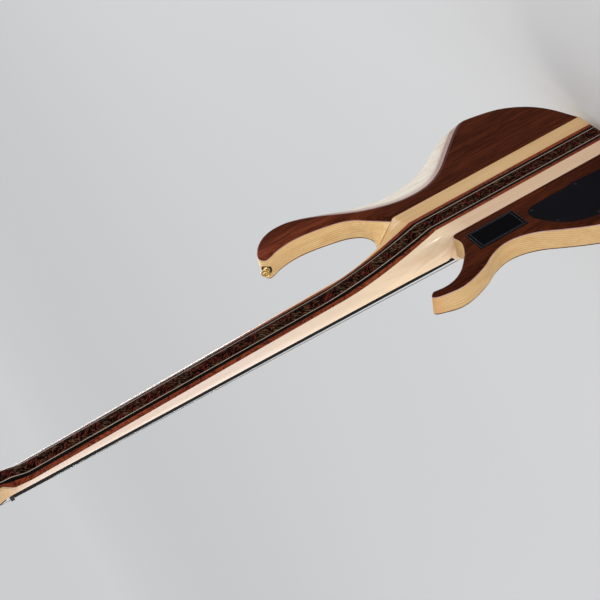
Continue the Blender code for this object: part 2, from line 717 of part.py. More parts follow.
# Pickups in routes cut through the top plates, the wings and the block
string_y_saddle = BOARD_TOP - FRET_HEIGHT - ACTION_SADDLE
for name, up in PICKUP_HEIGHTS.items():
    z = TAIL + up
    share = z / -STRING_LENGTH
    under_string = mix(BOARD_TOP - ACTION_NUT, string_y_saddle, share)
    top_y = under_string + PICKUP_TO_STRING
    low_y = top_y + PICKUP[2]
    shell = block(f"pickup_{name}", (PICKUP[0], PICKUP[2], PICKUP[1]),
                  (0, (top_y + low_y) / 2, z), 0.0022, 2)
    place(f"pickup_{name}", shell, BLACK_PLASTIC)
    route = hide(f"route_{name}", span(
        f"route_{name}", (-PICKUP[0] / 2 - ROUTE_GAP, -0.07, z - PICKUP[1] / 2 - ROUTE_GAP),
        (PICKUP[0] / 2 + ROUTE_GAP, low_y + RUN, z + PICKUP[1] / 2 + ROUTE_GAP)))
    for strip in strips.values():
        cut(strip, route)
    for layers in wings.values():
        cut(layers["top"], route)
        cut(layers["core"], route)

# Bridge: a plate with a rear block that holds the ball ends, and a saddle for each string
plate_high = -STRING_LENGTH + BRIDGE_AHEAD
plate_low = plate_high - BRIDGE_LENGTH
plate_back = -BODY_THICKNESS - GLUE
plate_front = plate_back - BRIDGE_PLATE
pitch = BRIDGE_SPREAD / 4
plate_half = BRIDGE_SPREAD / 2 + pitch / 2 + 0.002
side_view = [(plate_back, plate_low), (plate_back, plate_high), (plate_front, plate_high),
             (plate_front, plate_low + BRIDGE_BLOCK[0]),
             (plate_back - BRIDGE_BLOCK[1], plate_low + BRIDGE_BLOCK[0] - 0.002),
             (plate_back - BRIDGE_BLOCK[1], plate_low)]
plate = place("bridge_plate", loft("bridge_plate", [
    [(x, y, z) for y, z in side_view] for x in (-plate_half, plate_half)]), GOLD)

strings_x = [(mix(-NUT_SPREAD, NUT_SPREAD, i / 4) / 2, mix(-BRIDGE_SPREAD, BRIDGE_SPREAD, i / 4) / 2)
             for i in range(5)]
saddle_top = string_y_saddle
string_ends = {}
for i, (nut_x, bridge_x) in enumerate(strings_x):
    number = 5 - i
    radius = STRING_RADII[i]
    slot = hide(f"string_slot_{number}", span(
        f"string_slot_{number}",
        (bridge_x - radius - STRING_SLOT[0], plate_back - 2 * BRIDGE_BLOCK[1], plate_low + 0.003),
        (bridge_x + radius + STRING_SLOT[0], plate_back - BRIDGE_BLOCK[1] + STRING_SLOT[1],
         plate_high)))
    cut(plate, slot)
    saddle = block(f"saddle_{number}", (SADDLE[0], plate_front - GLUE - saddle_top, SADDLE[1]),
                   (bridge_x, (plate_front - GLUE + saddle_top) / 2, -STRING_LENGTH), 0.0008, 1)
    place(f"saddle_{number}", saddle, GOLD)

    # String: ball-end slot, saddle, nut, then down to its own post
    centre_nut = BOARD_TOP - ACTION_NUT - radius - GLUE
    centre_saddle = saddle_top - radius - GLUE
    slope_x = (bridge_x - nut_x) / STRING_LENGTH
    slope_y = (centre_saddle - centre_nut) / STRING_LENGTH
    behind = -STRING_LENGTH - SADDLE[1] / 2 - SADDLE_TRAVEL - 0.001
    post_index = TUNER_NAMES.index(f"string{number}")
    post_side, post_up = tuner_places[post_index]
    wind = POST_RADIUS + radius + GLUE
    local_post = Vector((post_side * (TUNER_X - wind), -HEAD_FACE - 0.0125, post_up))
    post_point = head_frame.matrix_world @ local_post
    anchor_y = plate_back - BRIDGE_BLOCK[1] + STRING_SLOT[1] - radius - GLUE
    route_points = [
        Vector((bridge_x, anchor_y, plate_low + 0.0035)),
        Vector((bridge_x, anchor_y, plate_low + BRIDGE_BLOCK[0] - 0.001)),
        Vector((bridge_x - slope_x * (behind + STRING_LENGTH),
                centre_saddle - slope_y * (behind + STRING_LENGTH), behind)),
        Vector((nut_x, centre_nut, 0.0)),
        Vector((nut_x, centre_nut, NUT_LENGTH)),
        post_point,
    ]
    data = bpy.data.curves.new(f"string_{number}", "CURVE")
    data.dimensions = "3D"
    data.bevel_depth = radius
    data.bevel_resolution = 1
    data.use_fill_caps = True
    line = data.splines.new("POLY")
    line.points.add(len(route_points) - 1)
    for point, co in zip(line.points, route_points):
        point.co = (*co, 1)
    string = bpy.data.objects.new(f"string_{number}", data)
    data.materials.append(paint(f"string_{number}_steel", *STEEL[1:]))
    model.objects.link(string)

# Battery box: bezel and cup, hinged lid, nine-volt battery
box_low = TAIL + BOX_LOW
box_mid = box_low + BOX_LENGTH / 2
cup_x = LID_WIDTH / 2 + 0.0015
cup_z = LID_LENGTH / 2 + 0.0015
pocket_back = 0.02
cup_pocket = hide("battery_pocket", span(
    "battery_pocket", (BOX_X - cup_x - BOX_WALL, -BOX_DEPTH - RUN, box_mid - cup_z - BOX_WALL),
    (BOX_X + cup_x + BOX_WALL, pocket_back, box_mid + cup_z + BOX_WALL)))
bezel_seat = hide("bezel_seat", span(
    "bezel_seat", (BOX_X - BOX_WIDTH / 2 - RUN, BEZEL_PROUD - BEZEL_THICKNESS - RUN,
                   box_low - RUN),
    (BOX_X + BOX_WIDTH / 2 + RUN, pocket_back, box_low + BOX_LENGTH + RUN)))
cut(wings["treble"]["back"], bezel_seat, cup_pocket)
cut(wings["treble"]["core"], cup_pocket)
bezel = place("battery_box", block(
    "battery_box", (BOX_WIDTH, BEZEL_THICKNESS, BOX_LENGTH),
    (BOX_X, BEZEL_PROUD - BEZEL_THICKNESS / 2, box_mid), 0.0005, 1), BLACK_PLASTIC)
cup = hide("battery_cup", span(
    "battery_cup", (BOX_X - cup_x - BOX_WALL + RUN, -BOX_DEPTH, box_mid - cup_z - BOX_WALL + RUN),
    (BOX_X + cup_x + BOX_WALL - RUN, BEZEL_PROUD - 0.001, box_mid + cup_z + BOX_WALL - RUN)))
cup_hollow = hide("battery_hollow", span(
    "battery_hollow", (BOX_X - BATTERY[0] / 2 - 2 * RUN, -BOX_DEPTH + BOX_WALL,
                       box_mid - LID_LENGTH / 2 + 0.003),
    (BOX_X + BATTERY[0] / 2 + 2 * RUN, pocket_back, box_mid + LID_LENGTH / 2 - 0.003)))
lid_seat = hide("lid_seat", span(
    "lid_seat", (BOX_X - LID_WIDTH / 2 - RUN, BEZEL_PROUD - LID_THICKNESS - 0.0006,
                 box_mid - LID_LENGTH / 2 - RUN),
    (BOX_X + LID_WIDTH / 2 + RUN, pocket_back, box_mid + LID_LENGTH / 2 + RUN)))
boolean(bezel, cup, "UNION")
cut(bezel, cup_hollow, lid_seat)
battery_y = -BOX_DEPTH + BOX_WALL + RUN + BATTERY[1] / 2
battery_z = box_mid - LID_LENGTH / 2 + 0.003 + RUN + BATTERY[2] / 2
place("battery", block("battery", BATTERY, (BOX_X, battery_y, battery_z), 0.001, 1), STEEL)

# The lid's upper end is a barrel about the hinge axis, so it swings clear of the bezel
hinge_radius = LID_THICKNESS / 2
hinge_z = box_mid + LID_LENGTH / 2 - hinge_radius
hinge_y = BEZEL_PROUD - hinge_radius
lid_side = [(hinge_y + hinge_radius * math.cos(a), hinge_z + hinge_radius * math.sin(a))
            for a in (math.pi * k / 8 for k in range(9))]
lid_side += [(hinge_y - hinge_radius, box_mid - LID_LENGTH / 2),
             (hinge_y + hinge_radius, box_mid - LID_LENGTH / 2)]
place("battery_lid", loft("battery_lid", [
    [(x, y, z) for y, z in lid_side] for x in (BOX_X - LID_WIDTH / 2, BOX_X + LID_WIDTH / 2)]),
    BLACK_PLASTIC)

# Control cavity, its cover, the circuit board with its controls, and the knobs
cover_curve = [p.to_tuple() for p in curve_through(COVER_OUTLINE, 2, closed=True)]
middle = Vector((sum(x for x, _ in cover_curve), sum(up for _, up in cover_curve)))
middle /= len(cover_curve)


def cover_outline(grow):
    result = []
    for x, up in cover_curve:
        away = (Vector((x, up)) - middle).normalized() * grow
        result.append((x + away.x, TAIL + up + away.y))
    return result


cover_seat = hide("cover_seat", prism(
    "cover_seat", cover_outline(RUN), -COVER_THICKNESS - RUN, pocket_back))
cavity = hide("control_cavity", prism(
    "control_cavity", cover_outline(-COVER_LEDGE), -BODY_THICKNESS + CAVITY_FLOOR, pocket_back))
cut(wings["treble"]["back"], cover_seat, cavity)
cut(wings["treble"]["core"], cavity)
place("control_cover", prism("control_cover", cover_outline(0), -COVER_THICKNESS, 0.0),
      BLACK_PLASTIC)

floor_y = -BODY_THICKNESS + CAVITY_FLOOR
pot_low = floor_y + RUN
board_y = pot_low + POT_HEIGHT


def strap_along(points, half):
    """Outline of a strap of the given half width that runs along the points."""
    path = [Vector(point) for point in points]
    first = (path[0] - path[1]).normalized()
    last = (path[-1] - path[-2]).normalized()
    sides = {1: [], -1: []}
    for i, point in enumerate(path):
        along = path[min(i + 1, len(path) - 1)] - path[max(i - 1, 0)]
        normal = Vector((-along.y, along.x)).normalized() * half
        end = first * half if i == 0 else last * half if i == len(path) - 1 else Vector((0, 0))
        for turn, row in sides.items():
            row.append((point + normal * turn + end).to_tuple())
    return [(x, TAIL + up) for x, up in sides[1] + sides[-1][::-1]]


board = place("control_board", prism(
    "control_board", strap_along(KNOB_PLACES, POT_RADIUS + 0.001), board_y - 0.0016, board_y),
    BOARD_GREEN)
for number, (x, up) in enumerate(KNOB_PLACES, 1):
    z = TAIL + up
    pot = hide(f"pot_{number}", turned(f"pot_{number}", [
        (0, 0), (POT_RADIUS, 0), (POT_RADIUS, POT_HEIGHT - 0.0006),
        (0.0042, POT_HEIGHT - 0.0006), (0.0042, POT_HEIGHT + CAVITY_FLOOR + 0.0015),
        (0, POT_HEIGHT + CAVITY_FLOOR + 0.0015)], (x, board_y - 0.0006, z), (0, -1, 0), 14))
    boolean(board, pot, "UNION")
    bush_hole = hide(f"pot_hole_{number}", rod(
        f"pot_hole_{number}", 0.0042 + RUN, (x, floor_y + 0.001, z), (0, -1, 0), 0.03, 16))
    cut(wings["treble"]["top"], bush_hole)
    cut(wings["treble"]["core"], bush_hole)
    shaft_hole = hide(f"shaft_hole_{number}", rod(
        f"shaft_hole_{number}", SHAFT_RADIUS + RUN, (x, board_y - 0.004, z), (0, -1, 0), 0.05, 12))
    cut(board, shaft_hole)
    knob_base = -BODY_THICKNESS - 0.0023
    shaft_length = board_y - 0.004 - RUN - knob_base
    place(f"knob_{number}", turned(f"knob_{number}", [
        (0, 0), (SHAFT_RADIUS, 0), (SHAFT_RADIUS, shaft_length), (KNOB_RADIUS, shaft_length),
        (KNOB_RADIUS, shaft_length + KNOB_HEIGHT * 0.75),
        (KNOB_RADIUS * 0.8, shaft_length + KNOB_HEIGHT), (0, shaft_length + KNOB_HEIGHT)],
        (x, board_y - 0.004 - RUN, z), (0, -1, 0), 20), GOLD)

# Jack socket in the treble side, with a flat seat for its flange
jack_z = TAIL + JACK_UP
jack_y = -BODY_THICKNESS / 2
jack_x = max(x for x, _, _ in TREBLE_OUTLINE) - JACK_FLANGE[1] - 0.0005
jack_seat = hide("jack_seat", rod("jack_seat", JACK_FLANGE[0] + RUN, (jack_x, jack_y, jack_z),
                                  (1, 0, 0), 0.02, 20))
jack_hole = hide("jack_hole", rod("jack_hole", JACK_RADIUS + RUN, (jack_x - JACK_LENGTH - 0.004,
                                  jack_y, jack_z), (1, 0, 0), 0.06, 16))
cut(wings["treble"]["core"], jack_seat, jack_hole)
place("jack_socket", turned("jack_socket", [
    (0, 0), (JACK_RADIUS, 0), (JACK_RADIUS, JACK_LENGTH + RUN), (JACK_FLANGE[0], JACK_LENGTH + RUN),
    (JACK_FLANGE[0], JACK_LENGTH + RUN + JACK_FLANGE[1]),
    (JACK_BORE, JACK_LENGTH + RUN + JACK_FLANGE[1]), (JACK_BORE, 0.003), (0, 0.003)],
    (jack_x - JACK_LENGTH, jack_y, jack_z), (1, 0, 0), 18), GOLD)


# Strap buttons, screwed to the tail and to the tip of the upper horn
def strap_button(name, start, direction):
    return place(name, turned(name, [
        (0, 0), (BUTTON_RADIUS, 0), (BUTTON_RADIUS, 0.0012), (BUTTON_NECK, 0.003),
        (BUTTON_NECK, BUTTON_HEIGHT - 0.004), (BUTTON_RADIUS, BUTTON_HEIGHT - 0.0024),
        (BUTTON_RADIUS, BUTTON_HEIGHT - 0.0008), (BUTTON_RADIUS - 0.001, BUTTON_HEIGHT),
        (0, BUTTON_HEIGHT)], start, direction, 20), GOLD)


strap_button("strap_button_tail", (0, -BODY_THICKNESS / 2, TAIL - GLUE), (0, 0, -1))
horn_axis = Vector((math.sin(HORN_BUTTON_TURN), 0, math.cos(HORN_BUTTON_TURN)))
horn_seat = Vector((HORN_BUTTON[0], HORN_BUTTON[1], TAIL + HORN_BUTTON[2]))
seat_cut = hide("horn_seat", rod("horn_seat", BUTTON_RADIUS + 0.001, horn_seat, horn_axis, 0.02, 20))
cut(wings["bass"]["core"], seat_cut)
strap_button("strap_button_horn", horn_seat + horn_axis * GLUE, horn_axis)
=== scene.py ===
"""Looks of a five-string neck-through electric bass guitar, put together piece by piece.

The neck runs along +Z with the nut at z = 0, the front faces -Y, the back is the plane y = 0 and
the treble side lies at +X. Lengths are in metres.
"""
import math

import bmesh
import bpy
from mathutils import Matrix, Vector


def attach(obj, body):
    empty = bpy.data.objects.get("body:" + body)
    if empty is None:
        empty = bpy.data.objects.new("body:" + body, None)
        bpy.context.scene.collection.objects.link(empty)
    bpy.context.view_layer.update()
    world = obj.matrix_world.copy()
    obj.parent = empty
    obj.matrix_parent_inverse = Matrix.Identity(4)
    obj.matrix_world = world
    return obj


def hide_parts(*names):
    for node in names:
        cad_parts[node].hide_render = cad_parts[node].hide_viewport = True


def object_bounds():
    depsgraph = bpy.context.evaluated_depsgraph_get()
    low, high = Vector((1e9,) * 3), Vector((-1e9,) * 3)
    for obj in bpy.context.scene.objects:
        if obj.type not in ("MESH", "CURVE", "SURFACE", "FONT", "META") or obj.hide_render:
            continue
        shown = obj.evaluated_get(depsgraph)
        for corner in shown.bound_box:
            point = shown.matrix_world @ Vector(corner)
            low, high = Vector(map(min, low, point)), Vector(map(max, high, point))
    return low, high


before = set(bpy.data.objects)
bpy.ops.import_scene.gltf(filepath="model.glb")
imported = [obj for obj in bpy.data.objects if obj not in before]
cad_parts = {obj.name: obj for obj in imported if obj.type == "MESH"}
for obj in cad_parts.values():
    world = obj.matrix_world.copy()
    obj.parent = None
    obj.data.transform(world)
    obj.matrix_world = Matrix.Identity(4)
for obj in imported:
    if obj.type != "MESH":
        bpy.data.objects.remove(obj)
cad_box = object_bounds()

# The studio: a pale floor just under the bass, wide enough for every view, an even surround,
# large soft lamps and a small one for the glint on the heel. The camera stands off the treble
# side, rolled as a hand would hold it to fit the instrument in corner to corner.
studio = bpy.context.scene
studio.view_settings.view_transform = "Standard"
CAMERA_PLACE = Vector((1.7691, 1.5060, 0.2091))
CAMERA_RIGHT = Vector((0.49169, -0.21263, -0.84441))
CAMERA_UP = Vector((-0.47221, 0.74964, -0.46373))
lens = bpy.data.cameras.new("camera")
lens.lens = 112.45
lens.clip_end = 200
camera = bpy.data.objects.new("camera", lens)
camera.matrix_world = Matrix.Translation(CAMERA_PLACE) @ Matrix(
    (CAMERA_RIGHT, CAMERA_UP, CAMERA_RIGHT.cross(CAMERA_UP))).transposed().to_4x4()
studio.collection.objects.link(camera)
studio.camera = camera


def tint(red, green, blue):
    """A colour read off a chart, 0 to 255, as the shader wants it."""
    def linear(value):
        value /= 255
        return value / 12.92 if value <= 0.04045 else ((value + 0.055) / 1.055) ** 2.4
    return (linear(red), linear(green), linear(blue), 1.0)


def add(tree, kind, values=None, **settings):
    """A shader node with its settings; a value that is a socket is wired in."""
    item = tree.nodes.new("ShaderNode" + kind)
    for key, value in settings.items():
        setattr(item, key, value)
    for key, value in (values or {}).items():
        if isinstance(value, bpy.types.NodeSocket):
            tree.links.new(value, item.inputs[key])
        else:
            item.inputs[key].default_value = value
    return item


world = bpy.data.worlds.new("surround")
world.use_nodes = True
sky = world.node_tree.nodes["Background"]
sky.inputs["Color"].default_value = (0.92, 0.93, 0.95, 1)
sky.inputs["Strength"].default_value = 0.68
studio.world = world

FLOOR_REACH = 60
FLOOR_GAP = 0.0008
FLOOR_FADE = (1.5, 8.0)
NEAR_GREY = (0.66, 0.66, 0.66, 1)
FAR_GREY = (0.96, 0.96, 0.96, 1)
floor_level = cad_box[0][2] - FLOOR_GAP
floor_mesh = bpy.data.meshes.new("floor")
floor_mesh.from_pydata([(x * FLOOR_REACH, y * FLOOR_REACH, floor_level) for x, y in (
    (-1, -1), (1, -1), (1, 1), (-1, 1))], [], [(0, 1, 2, 3)])
floor_paint = bpy.data.materials.new("floor_paint")
floor_paint.use_nodes = True
tree = floor_paint.node_tree
away = add(tree, "VectorMath", {0: add(tree, "TexCoord").outputs["Object"]}, operation="LENGTH")
far = add(tree, "MapRange", {"Value": away.outputs["Value"], "From Min": FLOOR_FADE[0],
                             "From Max": FLOOR_FADE[1]})
paint = add(tree, "Mix", {0: far.outputs["Result"], 6: NEAR_GREY, 7: FAR_GREY}, data_type="RGBA")
shader = tree.nodes["Principled BSDF"]
tree.links.new(paint.outputs[2], shader.inputs["Base Color"])
shader.inputs["Roughness"].default_value = 0.9
shader.inputs["Specular IOR Level"].default_value = 0
floor_mesh.materials.append(floor_paint)
floor = bpy.data.objects.new("floor", floor_mesh)
studio.collection.objects.link(floor)

LAMPS = {  # place, aim, size, power
    "back_bass_panel": ((-2.3, 2.3, 1.6), (0, 0, -0.45), 1.7, 62),
    "treble_panel": ((3.0, -0.5, 0.1), (0, 0, -0.55), 1.8, 40),
    "front_panel": ((1.2, -3.6, 1.1), (0, 0, -0.45), 2.1, 32),
    "rim_panel": ((-2.3, -0.9, -0.35), (0, 0, -0.45), 1.15, 32),
    "heel_glint": ((0.55, 2.7, 0.5), (0.03, 0, -0.635), 0.24, 22),
}
for name, (place, aim, size, power) in LAMPS.items():
    lamp = bpy.data.lights.new(name, "AREA")
    lamp.size = size
    lamp.energy = power
    panel = bpy.data.objects.new(name, lamp)
    panel.location = place
    panel.rotation_euler = (Vector(aim) - Vector(place)).to_track_quat("-Z", "Y").to_euler()
    panel.visible_camera = False
    panel.visible_diffuse = name not in ("rim_panel", "heel_glint")
    studio.collection.objects.link(panel)

# Neck-through blank: nine straight strips of wood glued side by side, from the tail to the end
# of the headstock. Dark mottled core, a pale and a black line to each side, red-brown strips and
# wide maple outside; carved at the back into heel, neck, volute and headstock, then oiled.
STRING_LENGTH = 0.864
FRETS = 24
NUT_WIDTH = 0.045
LAST_FRET_WIDTH = 0.0685
NUT_LENGTH = 0.005
NECK_DEPTH_FIRST = 0.0119
NECK_DEPTH_TWELFTH = 0.0163
NECK_CURVE_NUT = 1.6
NECK_CURVE_HEEL = 2.3
CORE_HALF = 0.0093
LINE_EDGE = 0.0103
BLACK_EDGE = 0.0147
RED_EDGE = 0.0201
BLOCK_HALF = 0.0449
BODY_THICKNESS = 0.038
EDGE_ROUND = 0.005
TAIL = -0.924
JOINT_Y = -0.0432
HEEL_BASS = 0.310
HEEL_TREBLE = 0.273
HEEL_RUN = 0.185
HEEL_EDGE_BASS = 0.80
HEEL_EDGE_TREBLE = 0.95
HEEL_SPREAD_BASS = 1.3
HEEL_POWER = 1.9
HEEL_FOOT_BASS = 0.346
HEEL_SETTLE = (0.012, 0.060)
HEEL_TRACE = 0.02
UNDERCUT_HEIGHT = 0.018
HEAD_TILT = math.radians(10)
HEAD_START = 0.006
HEAD_THICKNESS = 0.0165
HEAD_FLARE = 0.004
HEAD_BLEND_START = -0.009
HEAD_BLEND = 0.017
HEAD_LENGTH = 0.1965
HEAD_CHEEK = [(0.0240, 0.004), (0.0285, 0.013), (0.0365, 0.024), (0.0415, 0.037),
              (0.0425, 0.056), (0.0418, 0.096)]
HEAD_CROWN = [(0.0404, 0.0580), (0.0360, 0.0290), (0.0225, 0.0070), (0.0, 0.0)]
VOLUTE_HEIGHT = 0.0085
VOLUTE_LENGTH = 0.034
TUNERS = {"string5": (-1, 0.040), "string4": (-1, 0.086), "string3": (-1, 0.132),
          "string1": (1, 0.054), "string2": (1, 0.102)}
TUNER_X = 0.0270
BUSH_RADIUS = 0.0070
PICKUP = (0.1016, 0.0381, 0.0225)
PICKUP_UP = {"neck": 0.224, "bridge": 0.129}
ROUTE_GAP = 0.0006
BOARD_PAST_FRET = 0.010
RUN = 0.0003
SHARP = 38

LAST_FRET = -STRING_LENGTH * (1 - 2 ** (-FRETS / 12))
FIRST_FRET = -STRING_LENGTH * (1 - 2 ** (-1 / 12))
BOARD_END = LAST_FRET - BOARD_PAST_FRET
head = Matrix.Translation((0, JOINT_Y, HEAD_START)) @ Matrix.Rotation(-HEAD_TILT, 4, "X")


def smooth(value):
    value = min(1.0, max(0.0, value))
    return value * value * (3 - 2 * value)


def mix(a, b, share):
    return a + (b - a) * share


def curve_through(points, steps, closed=False):
    """Points on a smooth curve through the given ones, with steps to each stretch."""
    vectors = [Vector(point) for point in points]
    count = len(vectors)
    result = []
    for i in range(count if closed else count - 1):
        if closed:
            a, b, c, d = (vectors[(i + k) % count] for k in (-1, 0, 1, 2))
        else:
            b, c = vectors[i], vectors[i + 1]
            a = vectors[i - 1] if i else b + (b - c)
            d = vectors[i + 2] if i + 2 < count else c + (c - b)
        for k in range(steps):
            t = k / steps
            result.append(0.5 * (2 * b + (c - a) * t + (2 * a - 5 * b + 4 * c - d) * t * t
                                 + (3 * b - a - 3 * c + d) * t ** 3))
    if not closed:
        result.append(vectors[-1])
    return result


def half_width(z):
    return mix(NUT_WIDTH, LAST_FRET_WIDTH, z / LAST_FRET) / 2


def front_y(z):
    return JOINT_Y + max(0.0, z - HEAD_START) * math.tan(HEAD_TILT)


def neck_depth(z):
    share = (z - FIRST_FRET) / (-STRING_LENGTH / 2 - FIRST_FRET)
    bump = VOLUTE_HEIGHT * smooth((z + VOLUTE_LENGTH) / VOLUTE_LENGTH)
    return mix(NECK_DEPTH_FIRST, NECK_DEPTH_TWELFTH, share) + bump


def ramp_share(x, z):
    """How far the heel still stands up at this place: 1 on the body, 0 on the neck."""
    distance = z - TAIL - mix(HEEL_BASS, HEEL_TREBLE, (x + BLOCK_HALF) / (2 * BLOCK_HALF))
    across = x / BLOCK_HALF
    if x < 0:
        run = HEEL_RUN * (1 - HEEL_EDGE_BASS * abs(across) ** HEEL_SPREAD_BASS)
    else:
        run = HEEL_RUN * (1 - HEEL_EDGE_TREBLE * across ** 2)
    if distance <= 0:
        return 1.0
    return max(0.0, 1 - distance / run) ** mix(HEEL_POWER, 1.0, across ** 2)


def back_y(x, z):
    power = mix(NECK_CURVE_NUT, NECK_CURVE_HEEL, z / LAST_FRET)
    inside = max(0.0, 1 - abs(x / half_width(z)) ** power)
    neck = JOINT_Y + neck_depth(min(z, 0)) * inside ** (1 / power)
    if z > HEAD_BLEND_START:
        slope = (z - HEAD_START) * math.tan(HEAD_TILT)
        back = JOINT_Y + HEAD_THICKNESS / math.cos(HEAD_TILT) + slope
        return mix(neck, back, smooth((z - HEAD_BLEND_START) / HEAD_BLEND))
    return neck * (1 - ramp_share(x, z))


def side_reach(side, z):
    """How far out the blank reaches at this height, and how far at its front edge."""
    width = half_width(z)
    cheek = HEAD_START + HEAD_CHEEK[0][1]
    if z > cheek:
        reach = mix(HEAD_CHEEK[0][0], BLOCK_HALF, min(1.0, (z - cheek) / HEAD_FLARE))
        return reach, reach
    if z > 0:
        reach = mix(width, HEAD_CHEEK[0][0], smooth(z / cheek))
        return reach, reach
    foot = TAIL + (HEEL_FOOT_BASS if side < 0 else HEEL_TREBLE)
    if z <= foot:
        return BLOCK_HALF, BLOCK_HALF
    reach = width
    for i in range(241):
        x = mix(width, BLOCK_HALF, i / 240)
        if ramp_share(side * x, z) > HEEL_TRACE:
            reach = x
    if side < 0:
        reach = mix(reach, width, smooth((z - foot) / HEEL_SETTLE[1]))
    settle = smooth((z - foot) / HEEL_SETTLE[0])
    return reach, mix(BLOCK_HALF if side < 0 else width, width, settle)


def strip_ring(low, high, z, front, top, columns):
    ring = [(low, front, z), (high, front, z)]
    for i in range(columns):
        x = mix(high, low, i / (columns - 1))
        ring.append((x, back_y(x, z) if top is None else top, z))
    return ring


def outer_ring(side, z, front, top, columns=26):
    """Section of an outer maple strip, whose outer side is the neck's own shape."""
    reach, foot = side_reach(side, z)
    base = front_y(z)
    ring = [(side * RED_EDGE, front, z)]
    for i in range(columns):
        x = mix(RED_EDGE, reach, math.sin(math.pi / 2 * i / (columns - 1)))
        y = max(back_y(side * x, z) if top is None else top, base + 0.0006)
        if x > foot:
            x = mix(foot, x, min(1.0, (y - base) / UNDERCUT_HEIGHT) ** 0.5)
        ring.append((side * x, y, z))
    ring.append((side * foot, front, z))
    return ring if side > 0 else ring[::-1]


def blank_stations():
    """Heights where the blank's section is drawn, with the front plane and the back's height."""
    result = []
    for k in range(9):
        angle = math.pi / 2 * k / 8
        inset = EDGE_ROUND * (1 - math.sin(angle))
        result.append((TAIL + EDGE_ROUND * (1 - math.cos(angle)), inset - BODY_THICKNESS, -inset))
    result += [(BOARD_END - 0.0003, -BODY_THICKNESS, None), (BOARD_END, JOINT_Y, None)]
    result += [(TAIL + HEEL_TREBLE + 0.0025 * k, JOINT_Y, None) for k in range(80)]
    start = result[-1][0]
    result += [(mix(start, -VOLUTE_LENGTH, k / 30), JOINT_Y, None) for k in range(1, 30)]
    result += [(-VOLUTE_LENGTH + 0.001 * k, front_y(-VOLUTE_LENGTH + 0.001 * k), None)
               for k in range(59)]
    top = HEAD_LENGTH + 0.02
    return result + [(top, front_y(top), None)]


def finish_mesh(bm, name, angle=SHARP):
    bmesh.ops.recalc_face_normals(bm, faces=bm.faces)
    if bm.calc_volume(signed=True) < 0:
        bmesh.ops.reverse_faces(bm, faces=bm.faces)
    mesh = bpy.data.meshes.new(name)
    bm.to_mesh(mesh)
    bm.free()
    mesh.shade_smooth()
    mesh.set_sharp_from_angle(angle=math.radians(angle))
    piece = bpy.data.objects.new(name, mesh)
    studio.collection.objects.link(piece)
    return piece


def loft(name, rings, angle=SHARP):
    """Join closed rings of equal length by bands, and close both ends."""
    bm = bmesh.new()
    loops = [[bm.verts.new(point) for point in ring] for ring in rings]
    count = len(loops[0])
    for lower, upper in zip(loops, loops[1:]):
        for i in range(count):
            j = (i + 1) % count
            bm.faces.new((lower[i], lower[j], upper[j], upper[i]))
    bm.faces.new(loops[0])
    bm.faces.new(loops[-1])
    return finish_mesh(bm, name, angle)


def prism(name, outline, low_y, high_y):
    """Flat outline of (x, z) points, carried from low_y to high_y."""
    return loft(name, [[(x, y, z) for x, z in outline] for y in (low_y, high_y)])


def box(name, low, high):
    bm = bmesh.new()
    bmesh.ops.create_cube(bm, size=1.0)
    low, high = Vector(low), Vector(high)
    bmesh.ops.scale(bm, vec=high - low, verts=bm.verts)
    bmesh.ops.translate(bm, vec=(low + high) / 2, verts=bm.verts)
    return finish_mesh(bm, name)


def lathe(name, profile, start, direction, sides=48, angle=SHARP):
    """Turn (radius, height) pairs, closed on to the axis at both ends, about a direction."""
    bm = bmesh.new()
    profile = [(0, profile[0][1]), *profile, (0, profile[-1][1])]
    verts = [bm.verts.new((radius, 0, height)) for radius, height in profile]
    edges = [bm.edges.new(pair) for pair in zip(verts, verts[1:])]
    bmesh.ops.spin(bm, geom=verts + edges, cent=(0, 0, 0), axis=(0, 0, 1),
                   angle=2 * math.pi, steps=sides, use_merge=True)
    bmesh.ops.remove_doubles(bm, verts=bm.verts, dist=1e-7)
    turn = Vector((0, 0, 1)).rotation_difference(Vector(direction)).to_matrix().to_4x4()
    bm.transform(Matrix.Translation(Vector(start)) @ turn)
    return finish_mesh(bm, name, angle)


def rod(name, radius, length, start, direction, sides):
    """A plain round bar, mostly used as a drill."""
    return lathe(name, [(radius, 0), (radius, length)], start, direction, sides)


def settle(piece):
    """Apply the modifiers that stand on a piece."""
    graph = bpy.context.evaluated_depsgraph_get()
    mesh = bpy.data.meshes.new_from_object(piece.evaluated_get(graph), depsgraph=graph,
                                           preserve_all_data_layers=True)
    piece.modifiers.clear()
    piece.data = mesh
    return piece


def carve(piece, *tools, operation="DIFFERENCE", keep=False, sharp=SHARP):
    for tool in tools:
        step = piece.modifiers.new("carve", "BOOLEAN")
        step.object = tool
        step.operation = operation
        step.solver = "EXACT"
    settle(piece)
    piece.data.set_sharp_from_angle(angle=math.radians(sharp))
    if not keep:
        for tool in tools:
            bpy.data.objects.remove(tool, do_unlink=True)
    return piece


def ease(piece, width=0.0, segments=2, angle=30):
    """Break the sharp edges, then let the large faces rule the shading."""
    if width:
        step = piece.modifiers.new("edge", "BEVEL")
        step.width = width
        step.segments = segments
        step.limit_method = "ANGLE"
        step.angle_limit = math.radians(angle)
        step.harden_normals = True
    step = piece.modifiers.new("shading", "WEIGHTED_NORMAL")
    step.keep_sharp = True
    return settle(piece)


def join(name, pieces):
    """Make one object of several separate bodies."""
    bm = bmesh.new()
    for piece in pieces:
        held = piece.data.copy()
        held.transform(piece.matrix_world)
        bm.from_mesh(held)
        bpy.data.meshes.remove(held)
        bpy.data.objects.remove(piece, do_unlink=True)
    return finish_mesh(bm, name)


def dress(piece, material, body="instrument", stands_for=()):
    piece.data.materials.clear()
    piece.data.materials.append(material)
    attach(piece, body)
    if stands_for:
        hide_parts(*stands_for)
    return piece


def calc(tree, operation, first, second=0.0):
    return add(tree, "Math", {0: first, 1: second}, operation=operation).outputs[0]


